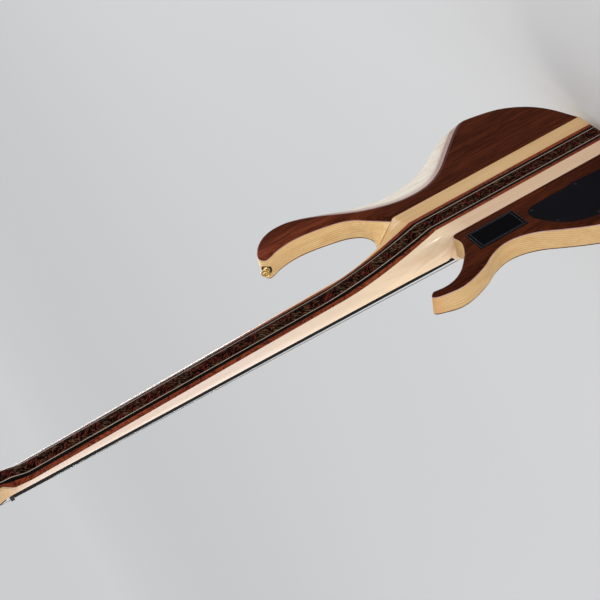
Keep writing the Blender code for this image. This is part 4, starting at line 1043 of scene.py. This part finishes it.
def wing_ring(side, y):
    inset = max(round_inset(-y), round_inset(y + BODY_THICKNESS))
    back_share = 1 + y / BODY_THICKNESS
    flat = [Vector((p.x, p.y - p.z * back_share)) for p in wing_outlines[side]]
    ring = []
    for i, point in enumerate(flat):
        before = flat[i - 1] if i else point
        after = flat[i + 1] if i + 1 < len(flat) else point
        along = (after - before).normalized()
        push = inset * tip_room[side][i]
        x = BLOCK_HALF if i in (0, len(flat) - 1) else point.x + along.y * push
        thin = TIP_THIN * smooth((point.y - TIP_FROM) / TIP_RUN) if side > 0 else 0.0
        ring.append((side * max(x, BLOCK_HALF), y * (1 - thin), TAIL + point.y - along.x * push))
    return ring if side > 0 else ring[::-1]


def wing_layer(name, side, low, high):
    marks = {low, high}
    for share in LEVELS:
        for y in (-EDGE_ROUND * share, -BODY_THICKNESS + EDGE_ROUND * share):
            if low + 0.0001 < y < high - 0.0001:
                marks.add(y)
    return loft(name, [wing_ring(side, y) for y in sorted(marks)])


ash, tree, shader, colour = oiled_wood(
    "ash", tint(231, 197, 141), tint(214, 174, 114), 130, 6, (0.35, 0.75), 0.30, 6.1, 0.38, 0.006)
layers = use(tree, rings_group, Spacing=0.0031, Wobble=0.019, Centre=(0.02, -0.30, 0.0))
x, y, z = split(tree, spot_on(tree))
fading = shape_range(tree, calc(tree, "ABSOLUTE", x), 0.050, 0.095, 0.15, 0.70)
colour = blend_colour(tree, times(tree, layers["Ring"], fading), colour, tint(186, 136, 76))
facing = split(tree, add(tree, "NewGeometry").outputs["Normal"])[1]
# Painted light and shade: the ash on the bass wing is lightened and on the treble wing darkened,
# standing in for how the light falls on each side.
grain_tone_and_side_light = blend_colour(tree, shape_range(tree, x, -0.03, 0.03), (1.19, 1.18, 1.16, 1.0),
                    (0.82, 0.78, 0.74, 1.0))
colour = blend_colour(tree, 1.0, colour, grain_tone_and_side_light, "MULTIPLY")
tip = times(tree, shape_range(tree, x, 0.095, 0.115), shape_range(tree, z, -0.578, -0.562))
colour = blend_colour(tree, times(tree, tip, 0.7), colour, tint(206, 146, 88))
# Painted light: on the belly contour the ash is painted near white where the surface faces the back,
# turning greyish mauve where it steepens at the edge, as if lit from the bass side; fine grain
# threads run through it.
outside = times(tree, calc(tree, "ADD", x, times(tree, z, 0.5)), -1.0)
hollow = times(tree, shape_range(tree, facing, 0.45, 0.80), shape_range(tree, outside, 0.376, 0.380))
painted_belly_light = blend_colour(tree, shape_range(tree, facing, 0.905, 0.985), tint(160, 132, 120),
                        tint(244, 234, 220))
threads = use(tree, grain, Across=380.0, Along=9.0, Wander=0.012, Place=(2.3, 0.4, 6.6))
threads = shape_range(tree, threads["Streak"], 0.48, 0.66, 0.0, 0.45)
painted_belly_light = blend_colour(tree, threads, painted_belly_light, tint(196, 172, 150))
wire(shader, {"Base Color": blend_colour(tree, hollow, colour, painted_belly_light)})
mauve = oiled_wood("mauve_veneer", tint(170, 134, 138), tint(142, 106, 112), 300, 10, (0.3, 0.7),
                   0.1, 2.9, 0.36)[0]

belly_rings = []
scoop = [p.to_tuple() for p in curve_through(BELLY_SCOOP, 5)]
for up, x in (p.to_tuple() for p in curve_through(BELLY_EDGE, 8)):
    z = TAIL + up
    ring = [(-x - out, -depth, z) for out, depth in scoop]
    last = scoop[-1][0]
    ring += [(-x - last, 0.03, z), (-x + 0.004, 0.03, z), (-x + 0.004, 0.0022, z)]
    belly_rings.append(ring)
belly = loft("belly", belly_rings)

HORN_BUTTON = Vector((-0.1032, -0.0220, TAIL + 0.4800))
HORN_TURN = math.radians(52)
BUTTON_RADIUS = 0.0068
horn_axis = Vector((math.sin(HORN_TURN), 0, math.cos(HORN_TURN)))
horn_seat = rod("horn_seat", BUTTON_RADIUS + 0.001, 0.02, HORN_BUTTON, horn_axis, 40)

BOX_X = 0.0765
BOX_LENGTH = 0.074
BOX_WIDTH = 0.037
BOX_DEPTH = 0.0235
BOX_WALL = 0.0022
BOX_MID = TAIL + 0.188 + BOX_LENGTH / 2
BEZEL_PROUD = 0.0008
BEZEL_THICKNESS = 0.0022
LID_WIDTH = 0.0285
LID_LENGTH = 0.0620
LID_THICKNESS = 0.0018
CUP_ROOM = 0.0015
cup_x = LID_WIDTH / 2 + CUP_ROOM + BOX_WALL
cup_z = LID_LENGTH / 2 + CUP_ROOM + BOX_WALL


def centred_block(name, half_x, half_z, low_y, high_y=0.02):
    """A block that shares its middle with the battery box."""
    return box(name, (BOX_X - half_x, low_y, BOX_MID - half_z),
               (BOX_X + half_x, high_y, BOX_MID + half_z))


cup_pocket = centred_block("pocket", cup_x, cup_z, -BOX_DEPTH - RUN)
bezel_seat = centred_block("seat", BOX_WIDTH / 2 + RUN, BOX_LENGTH / 2 + RUN,
                           BEZEL_PROUD - BEZEL_THICKNESS - RUN)

COVER_OUTLINE = [
    (0.0765, 0.1750), (0.0914, 0.1771), (0.1090, 0.1679), (0.1290, 0.1530), (0.1405, 0.1333),
    (0.1466, 0.1117), (0.1480, 0.0850), (0.1430, 0.0620), (0.1290, 0.0450), (0.1080, 0.0350),
    (0.0880, 0.0330), (0.0730, 0.0420), (0.0700, 0.0620), (0.0685, 0.0880), (0.0674, 0.0960),
    (0.0685, 0.1030), (0.0695, 0.1200), (0.0697, 0.1420), (0.0702, 0.1640),
]
COVER_THICKNESS = 0.002
CAVITY_FLOOR_Y = -BODY_THICKNESS + 0.006
cover_curve = [p.to_tuple() for p in curve_through(COVER_OUTLINE, 8, closed=True)]
cover_middle = Vector((sum(x for x, _ in cover_curve), sum(up for _, up in cover_curve)))
cover_middle /= len(cover_curve)


def cover_outline(grow):
    result = []
    for x, up in cover_curve:
        away = (Vector((x, up)) - cover_middle).normalized() * grow
        result.append((x + away.x, TAIL + up + away.y))
    return result


cover_seat = prism("seat", cover_outline(RUN), -COVER_THICKNESS - RUN, 0.02)
cavity = prism("cavity", cover_outline(-0.005), CAVITY_FLOOR_Y, 0.02)

KNOB_PLACES = [(0.098, 0.146), (0.121, 0.118), (0.124, 0.082), (0.103, 0.056)]
POT_HEIGHT = 0.0090
board_y = CAVITY_FLOOR_Y + RUN + POT_HEIGHT
pot_holes = join("pot_holes", [
    rod("hole", 0.0045, 0.03, (x, CAVITY_FLOOR_Y + 0.001, TAIL + up), (0, -1, 0), 28)
    for x, up in KNOB_PLACES])

JACK_Z = TAIL + 0.086
JACK_Y = -BODY_THICKNESS / 2
JACK_RADIUS = 0.0060
JACK_LENGTH = 0.0300
JACK_FLANGE = (0.0110, 0.0020)
jack_x = 0.1680 - JACK_FLANGE[1] - 0.0005
jack_seat = rod("jack_seat", JACK_FLANGE[0] + RUN, 0.02, (jack_x, JACK_Y, JACK_Z), (1, 0, 0), 48)
jack_hole = rod("jack_hole", JACK_RADIUS + RUN, 0.06,
                (jack_x - JACK_LENGTH - 0.004, JACK_Y, JACK_Z), (1, 0, 0), 36)
routes = join("routes", [pickup_route(name) for name in PICKUP_UP])

GLUE_BACK = -BACK_PLATE
GLUE_FRONT = -BODY_THICKNESS + TOP_PLATE
LAYERS = {  # front and back, wood, slot, solid, cut from the bass side, cut from the treble side
    "top_plate": (-BODY_THICKNESS, GLUE_FRONT, walnut, "walnut", "body_top", [routes],
                  [routes, pot_holes]),
    "ash_core": (GLUE_FRONT, GLUE_BACK - VENEER, ash, "ash", "body_ash", [routes, belly, horn_seat],
                 [routes, pot_holes, cup_pocket, cavity, jack_seat, jack_hole]),
    "back_veneer": (GLUE_BACK - VENEER, GLUE_BACK, mauve, "walnut", None, [belly],
                    [cup_pocket, cavity]),
    "back_plate": (GLUE_BACK, 0.0, walnut, "walnut", "body_back", [belly],
                   [bezel_seat, cup_pocket, cover_seat, cavity]),
}
for side_name, side in SIDES.items():
    for layer, (front, back, wood, slot, solid, *cuts) in LAYERS.items():
        piece = wing_layer(f"{layer}_{side_name}", side, front, back)
        carve(piece, *cuts[side > 0], keep=True)
        dress(ease(piece), wood, stands_for=[f"{solid}_{side_name}"] if solid else ())
for tool in (belly, horn_seat, cup_pocket, bezel_seat, cover_seat, cavity, pot_holes, jack_seat,
             jack_hole, routes):
    bpy.data.objects.remove(tool, do_unlink=True)

# Pickups: two wide moulded covers with rounded corners, dropped into routes that cross the block
# and both wings, each held by two screws into the wood.
PICKUP_SCREW_X = 0.0455
PICKUP_SCREW_SUNK = 0.0012
for name, up in PICKUP_UP.items():
    z = TAIL + up
    top_y, low_y = pickup_y[name]
    shell = rounded_block(f"pickup_shell_{name}", (PICKUP[0], PICKUP[2], PICKUP[1]),
                          (0, (top_y + low_y) / 2, z), 0.0032, 5)
    spots = {side_name: (side * PICKUP_SCREW_X, top_y + PICKUP_SCREW_SUNK, z)
             for side_name, side in SIDES.items()}
    seats = [rod("seat", 0.0024, 0.004, spot, (0, -1, 0), 28) for spot in spots.values()]
    carve(shell, join("seats", seats))
    dress(ease(shell), black_plastic, stands_for=[f"pickup_{name}"])
    for side_name, spot in spots.items():
        screw = screw_head(f"pickup_screw_{name}_{side_name}", 0.0021, spot, (0, -1, 0), 0.0010)
        dress(screw, dark_steel)

# Bridge: a plated plate screwed to the block, with a raised rear block whose slots hold the
# strings' ball ends. Five saddles sit on the plate, each on two small height screws and drawn
# back by a long screw from the rear block.
PLATE_AHEAD = 0.018
PLATE_LENGTH = 0.060
PLATE_THICKNESS = 0.003
BRIDGE_BLOCK = (0.009, 0.0135)
BALL_SEAT = 0.0070
SADDLE = (0.0150, 0.0120)
SADDLE_TRAVEL = 0.005
ROD_RISE = 0.0046
HEIGHT_SCREW_X = 0.0052
PLATE_SCREW_X = (-0.044, -0.0275, 0.0275, 0.044)
plate_high = -STRING_LENGTH + PLATE_AHEAD
plate_low = plate_high - PLATE_LENGTH
plate_back = -BODY_THICKNESS - RUN
plate_front = plate_back - PLATE_THICKNESS
plate_half = BRIDGE_SPREAD / 2 + BRIDGE_SPREAD / 8 + 0.002
side_view = [(plate_back, plate_low), (plate_back, plate_high), (plate_front, plate_high),
             (plate_front, plate_low + BRIDGE_BLOCK[0]),
             (plate_back - BRIDGE_BLOCK[1], plate_low + BRIDGE_BLOCK[0] - 0.002),
             (plate_back - BRIDGE_BLOCK[1], plate_low)]
plate = loft("bridge_base", [[(x, y, z) for y, z in side_view] for x in (-plate_half, plate_half)])
anchor_back = plate_back - BRIDGE_BLOCK[1] + BALL_SEAT
carve(plate, join("slots", [
    box("slot", (bridge_x - radius - 0.0008, plate_back - 0.03, plate_low + 0.003),
        (bridge_x + radius + 0.0008, anchor_back, plate_low + 0.02))
    for radius, (_, bridge_x) in zip(STRING_RADII, strings_x)]))
dress(ease(plate, 0.0007, 3), gold, stands_for=["bridge_plate"])
for k, x in enumerate(PLATE_SCREW_X):
    screw = screw_head(f"bridge_screw_{k + 1}", 0.0026, (x, plate_front, plate_high - 0.006),
                       (0, -1, 0), 0.0014)
    dress(screw, gold)

saddle_steel = worked_metal("saddle_plate", tint(224, 188, 118), tint(190, 152, 88), 0.26, 1100.0)
for number, radius, (_, bridge_x) in zip((5, 4, 3, 2, 1), STRING_RADII, strings_x):
    side_view = []
    for k in range(13):
        z = mix(-SADDLE[1] / 2, SADDLE[1] / 2, k / 12)
        crest = SADDLE_TOP + 0.0022 * (abs(z) / (SADDLE[1] / 2)) ** 2.2
        side_view.append((crest, -STRING_LENGTH + z))
    foot = plate_front - RUN
    rod_y = plate_front - ROD_RISE
    side_view += [(foot - 0.0010, -STRING_LENGTH + SADDLE[1] / 2),
                  (foot - 0.0010, -STRING_LENGTH - SADDLE[1] / 2)]
    half = SADDLE[0] / 2
    saddle = loft(f"saddle_block_{number}", [[(bridge_x + x, y, z) for y, z in side_view]
                                             for x in (-half, half)])
    low_z = -STRING_LENGTH - 0.015
    groove = rod("groove", radius + 0.0001, 0.03, (bridge_x, SADDLE_TOP - radius * 0.35, low_z),
                 (0, 0, 1), 24)
    bore = rod("bore", 0.0015, 0.03, (bridge_x, rod_y, low_z), (0, 0, 1), 20)
    wells = [rod("well", 0.0014, 0.02, (bridge_x + side * HEIGHT_SCREW_X, foot + 0.0002,
                                        -STRING_LENGTH), (0, -1, 0), 20) for side in (-1, 1)]
    carve(saddle, groove, bore, *wells)
    dress(ease(saddle, 0.0005, 3), saddle_steel, f"saddle_{number}", [f"saddle_{number}"])
    rise = foot - SADDLE_TOP
    for letter, side in {"a": -1, "b": 1}.items():
        post = lathe(f"height_screw_{number}_{letter}", [
            (0.0008, 0), (0.0012, 0.0006), (0.0012, rise - 0.0012), (0.0006, rise - 0.0010),
            (0.0006, rise - 0.0022)],
            (bridge_x + side * HEIGHT_SCREW_X, foot, -STRING_LENGTH), (0, -1, 0), 18)
        dress(post, steel, f"saddle_{number}")
    screw = lathe(f"intonation_screw_{number}", [
        (0.0024, 0), (0.0026, 0.0006), (0.0026, 0.0016), (0.0012, 0.0018),
        (0.0012, 0.046), (0.0008, 0.047)], (bridge_x, rod_y, plate_low - 0.0016),
        (0, 0, 1), 20)
    carve(screw, box("cross", (bridge_x - 0.0018, rod_y - 0.0003, plate_low - 0.004),
                     (bridge_x + 0.0018, rod_y + 0.0003, plate_low - 0.0009)))
    dress(ease(screw), steel)

# Strings: steel cores wound with nickel wire. Each runs from its ball end in the rear block over
# the saddle and the nut, then round its post in a few turns.
POST_TURNS = 2.25
TURNS_PER_METRE = 2200.0
string_steel, tree, shader = new_material("wound_string", metallic=1.0)
# Painted shade: the colour darkens in the groove between each turn of the winding, where shade
# falls; the same wave gives the bump.
turns = calc(tree, "FRACT", times(tree, split(tree, spot_on(tree))[2], TURNS_PER_METRE))
wound = calc(tree, "SINE", times(tree, turns, math.pi))
marks = use(tree, metal_marks)
wire(shader, {
    "Base Color": blend_colour(tree, wound, tint(96, 94, 90), tint(196, 194, 190)),
    "Roughness": shape_range(tree, marks["Haze"], 0.3, 0.7, 0.26, 0.42),
    "Normal": relief(tree, wound, 0.5, 0.00006)})

for number, radius, (nut_x, bridge_x) in zip((5, 4, 3, 2, 1), STRING_RADII, strings_x):
    centre_nut = BOARD_TOP - ACTION_NUT - radius - RUN
    centre_saddle = SADDLE_TOP - radius - RUN
    slope_x = (bridge_x - nut_x) / STRING_LENGTH
    slope_y = (centre_saddle - centre_nut) / STRING_LENGTH
    behind = SADDLE[1] / 2 + SADDLE_TRAVEL + 0.001
    anchor_y = anchor_back - radius - RUN
    side, up = TUNERS[f"string{number}"]
    wind = POST_RADIUS + radius + RUN
    route = [Vector((bridge_x, anchor_y, plate_low + 0.0035)),
             Vector((bridge_x, anchor_y, plate_low + BRIDGE_BLOCK[0] - 0.001)),
             Vector((bridge_x + slope_x * behind, centre_saddle + slope_y * behind,
                     -STRING_LENGTH - behind)),
             Vector((bridge_x, centre_saddle, -STRING_LENGTH)),
             Vector((nut_x, centre_nut, 0.0)), Vector((nut_x, centre_nut, NUT_LENGTH))]
    for k in range(46):
        angle = 2 * math.pi * POST_TURNS * k / 45
        route.append(head @ Vector((
            side * (TUNER_X - wind * math.cos(angle)),
            -HEAD_FACE - 0.0125 + (radius + 0.00005) * angle / math.pi,
            up + wind * math.sin(angle))))
    data = bpy.data.curves.new(f"string_wire_{number}", "CURVE")
    data.dimensions = "3D"
    data.bevel_depth = radius
    data.bevel_resolution = 3
    data.use_fill_caps = True
    line = data.splines.new("POLY")
    line.points.add(len(route) - 1)
    for point, co in zip(line.points, route):
        point.co = (*co, 1)
    string = bpy.data.objects.new(f"string_wire_{number}", data)
    studio.collection.objects.link(string)
    dress(string, string_steel, stands_for=[f"string_{number}"])

# Controls: four potentiometers on a circuit board inside the cavity, and plated knobs with
# knurled sides on their shafts in front, each kept in place by a set screw.
circuit = moulded("circuit_lacquer", tint(24, 92, 52), tint(16, 66, 38), 0.4)
paint_solid("control_board", circuit)
KNOB_RADIUS = 0.0095
KNOB_HEIGHT = 0.0160
KNOB_LIFT = 0.0023
KNOB_SIDES = 96
KNURL_DEPTH = 0.00035
KNOB_PROFILE = [  # drop inside the knob's radius, height above its foot, knurled or not
    (0.0006, 0, 0), (0, 0.0008, 0), (0, 0.0020, 0), (0.0002, 0.0023, 1), (0.0004, 0.0115, 1),
    (0.0004, 0.0118, 0), (0.0006, 0.0130, 0), (0.0012, 0.0146, 0), (0.0024, 0.0156, 0),
    (0.0044, KNOB_HEIGHT, 0)]
SHAFT_RADIUS = 0.0030
SHAFT_SUNK = 0.004
for number, (x, up) in enumerate(KNOB_PLACES, 1):
    z = TAIL + up
    start_y = board_y - SHAFT_SUNK - RUN
    shaft = start_y + BODY_THICKNESS + KNOB_LIFT
    profile = [(SHAFT_RADIUS, 0, 0), (SHAFT_RADIUS, shaft, 0)]
    profile += [(KNOB_RADIUS - drop, shaft + rise, knurled) for drop, rise, knurled in KNOB_PROFILE]
    rings = []
    for radius, height, knurled in profile:
        ring = []
        for k in range(KNOB_SIDES):
            angle = 2 * math.pi * k / KNOB_SIDES
            reach = radius - (KNURL_DEPTH if knurled and k % 4 > 1 else 0.0)
            ring.append((x + reach * math.cos(angle), start_y - height, z + reach * math.sin(angle)))
        rings.append(ring)
    knob = loft(f"knob_cap_{number}", rings, 40)
    carve(knob, rod("set_hole", 0.0011, 0.004, (x + 0.0070, start_y - shaft - 0.0012, z),
                    (1, 0, 0), 20),
          box("pointer", (x - 0.0004, start_y - shaft - KNOB_HEIGHT - 0.001, z + 0.0012),
              (x + 0.0004, start_y - shaft - KNOB_HEIGHT + 0.0003, z + 0.0048)))
    dress(ease(knob), gold, f"knob_{number}", [f"knob_{number}"])

# Control cover: a thin plate of black laminate let in flush with the back over the cavity, held
# by small black countersunk screws near its edge.
cover = prism("cavity_cover", cover_outline(0), -COVER_THICKNESS, 0.0)
cover_screws = [(0.0770, 0.1698), (0.0724, 0.0960), (0.1416, 0.1090), (0.1180, 0.1575),
                (0.1330, 0.0520), (0.0780, 0.0400)]
sinks = [lathe("sink", [(0.0010, 0), (0.0027, 0.0017), (0.0027, 0.004)],
               (x, -0.0016, TAIL + up), (0, 1, 0), 28) for x, up in cover_screws]
carve(ease(cover, 0.0004, 2), join("sinks", sinks))
laminate = moulded("black_laminate", tint(11, 11, 16), tint(16, 16, 23), 0.5, 420.0, 0.00005, 0.03)
dress(ease(cover), laminate, stands_for=["control_cover"])
for k, (x, up) in enumerate(cover_screws):
    screw = screw_head(f"cover_screw_{k + 1}", 0.0024, (x, -0.0009, TAIL + up), (0, 1, 0), 0.0009)
    dress(screw, dark_steel)

# Battery box: a moulded cup with a flat bezel let into the back, a hinged lid with a finger
# notch, and the nine-volt battery inside with its two round contacts.
BATTERY = (0.0265, 0.0175, 0.0485)
LEDGE = 0.003
LIP = 0.0005
cup = centred_block("battery_cup", cup_x - RUN, cup_z - RUN, -BOX_DEPTH, BEZEL_PROUD - 0.001)
bezel = rounded_block("battery_bezel", (BOX_WIDTH, BEZEL_THICKNESS, BOX_LENGTH),
                      (BOX_X, BEZEL_PROUD - BEZEL_THICKNESS / 2, BOX_MID), 0.0007, 3)
carve(bezel, cup, operation="UNION")
hollow = centred_block("hollow", BATTERY[0] / 2 + 2 * RUN, LID_LENGTH / 2 - LEDGE,
                       -BOX_DEPTH + BOX_WALL)
lid_seat = centred_block("lid_seat", LID_WIDTH / 2 + RUN, LID_LENGTH / 2 + RUN,
                         BEZEL_PROUD - LID_THICKNESS - 0.0006)
carve(bezel, hollow, lid_seat)
box_plastic = moulded("box_plastic", tint(4, 4, 7), tint(9, 9, 12), 0.33, 800.0, 0.00003, 0.015)
dress(ease(bezel, 0.00025, 2), box_plastic, stands_for=["battery_box"])

# Painted highlight: the raised lips are a lighter grey-blue than the black box, standing in for the
# highlights along its edges; they are also glossier.
lip_highlight_plastic = moulded("lip_painted_highlight", tint(44, 49, 58), tint(33, 37, 45), 0.25, 800.0, 0.00003, 0.4)


def lip(name, half_x, half_z):
    """A narrow raised lip along the four sides of the bezel or of the lid's seat."""
    high = BEZEL_PROUD + 0.00015
    low = high - 0.0004
    ring = centred_block(name, half_x, half_z, low, high)
    inside = centred_block("inside", half_x - LIP, half_z - LIP, low - 0.001, high + 0.001)
    dress(ease(carve(ring, inside), 0.0001, 2), lip_highlight_plastic)


lip("bezel_lip", BOX_WIDTH / 2 - 0.0008, BOX_LENGTH / 2 - 0.0008)
lip("seat_lip", LID_WIDTH / 2 + 0.0013, LID_LENGTH / 2 + 0.0013)

hinge_radius = LID_THICKNESS / 2
hinge_z = BOX_MID + LID_LENGTH / 2 - hinge_radius
hinge_y = BEZEL_PROUD - hinge_radius
lid_side = [(hinge_y + hinge_radius * math.cos(a), hinge_z + hinge_radius * math.sin(a))
            for a in (math.pi * k / 16 for k in range(17))]
lid_side += [(hinge_y - hinge_radius, BOX_MID - LID_LENGTH / 2),
             (hinge_y + hinge_radius, BOX_MID - LID_LENGTH / 2)]
lid = loft("battery_door", [[(x, y, z) for y, z in lid_side]
                            for x in (BOX_X - LID_WIDTH / 2, BOX_X + LID_WIDTH / 2)])
notch = rod("notch", 0.0075, 0.004,
            (BOX_X, BEZEL_PROUD - 0.0006, BOX_MID - LID_LENGTH / 2 - 0.0035), (0, 1, 0), 48)
carve(lid, notch)
dress(ease(lid, 0.0003, 3), box_plastic, "battery_lid", ["battery_lid"])

battery_y = -BOX_DEPTH + BOX_WALL + RUN + BATTERY[1] / 2
battery_z = BOX_MID - LID_LENGTH / 2 + LEDGE + RUN + BATTERY[2] / 2
battery = rounded_block("battery_case", BATTERY, (BOX_X, battery_y, battery_z), 0.0014, 4)
case_metal = worked_metal("battery_metal", tint(120, 122, 128), tint(92, 94, 100), 0.36)
dress(battery, case_metal, stands_for=["battery"])
contacts = []
for x, radius in ((-0.0064, 0.0028), (0.0064, 0.0036)):
    contacts.append(lathe("contact", [
        (radius, 0), (radius, 0.0022), (radius - 0.0006, 0.0026), (radius - 0.0012, 0.0026),
        (radius - 0.0012, 0.0008)],
        (BOX_X + x, battery_y, battery_z + BATTERY[2] / 2), (0, 0, 1), 24))
dress(join("battery_contacts", contacts), steel)

# Jack: a plated barrel with a wide flange pressed into the treble edge, its bore open for the
# plug, with a ring nut round the mouth.
seat_height = JACK_LENGTH + RUN
rim_height = seat_height + JACK_FLANGE[1]
groove_height = seat_height + 0.0014
socket = lathe("jack_barrel", [
    (JACK_RADIUS, 0), (JACK_RADIUS, seat_height), (JACK_FLANGE[0] - 0.0002, seat_height),
    (JACK_FLANGE[0], seat_height + 0.0003), (JACK_FLANGE[0], seat_height + 0.0013),
    (JACK_FLANGE[0] - 0.0008, rim_height), (0.0070, rim_height), (0.0066, groove_height),
    (0.0060, groove_height), (0.0056, rim_height), (0.0038, rim_height), (0.0032, groove_height),
    (0.0032, 0.003)], (jack_x - JACK_LENGTH, JACK_Y, JACK_Z), (1, 0, 0), 56)
dress(ease(socket), gold, stands_for=["jack_socket"])

# Strap buttons: turned and plated, with a waisted neck for the strap's hole and a domed cap,
# each screwed on through its middle over a thin dark felt washer.
BUTTON_NECK = 0.0034
BUTTON_HEIGHT = 0.0110
felt, tree, shader = new_material("felt", 0.95)
marks = use(tree, metal_marks, Size=1600.0)
wire(shader, {
    "Base Color": blend_colour(tree, marks["Scratch"], tint(26, 22, 20), tint(12, 11, 10)),
    "Normal": relief(tree, marks["Scratch"], 0.8, 0.0002)})
BUTTONS = {"tail": (Vector((0, -BODY_THICKNESS / 2, TAIL - 0.0003)), Vector((0, 0, -1))),
           "horn": (HORN_BUTTON + horn_axis * 0.0003, horn_axis)}
for name, (start, direction) in BUTTONS.items():
    profile = [(0.0048, 0.0016), (0.0050, 0.0019), (0.0048, 0.0023), (BUTTON_NECK + 0.0005, 0.0032),
               (BUTTON_NECK, 0.0042), (BUTTON_NECK, 0.0062), (BUTTON_NECK + 0.0008, 0.0074),
               (BUTTON_RADIUS - 0.0003, 0.0083), (BUTTON_RADIUS, 0.0089),
               (BUTTON_RADIUS - 0.0002, 0.0096), (BUTTON_RADIUS - 0.0010, 0.0105),
               (BUTTON_RADIUS - 0.0019, BUTTON_HEIGHT), (0.0026, BUTTON_HEIGHT),
               (0.0014, BUTTON_HEIGHT - 0.0012)]
    button = lathe(f"button_{name}", profile, start, direction, 48, 50)
    dress(ease(button), gold, stands_for=[f"strap_button_{name}"])
    screw = screw_head(f"button_screw_{name}", 0.0023, start + direction * (BUTTON_HEIGHT - 0.0011),
                       direction, 0.0010)
    dress(screw, gold)
    # Partly painted shade: the dark felt washer is thick enough that its ring also stands in for the
    # shade under the button's cap.
    washer = lathe(f"button_felt_{name}", [
        (BUTTON_RADIUS + 0.0002, 0.0), (BUTTON_RADIUS + 0.0004, 0.0008),
        (BUTTON_RADIUS + 0.0001, 0.0016)], start, direction, 40)
    dress(washer, felt)
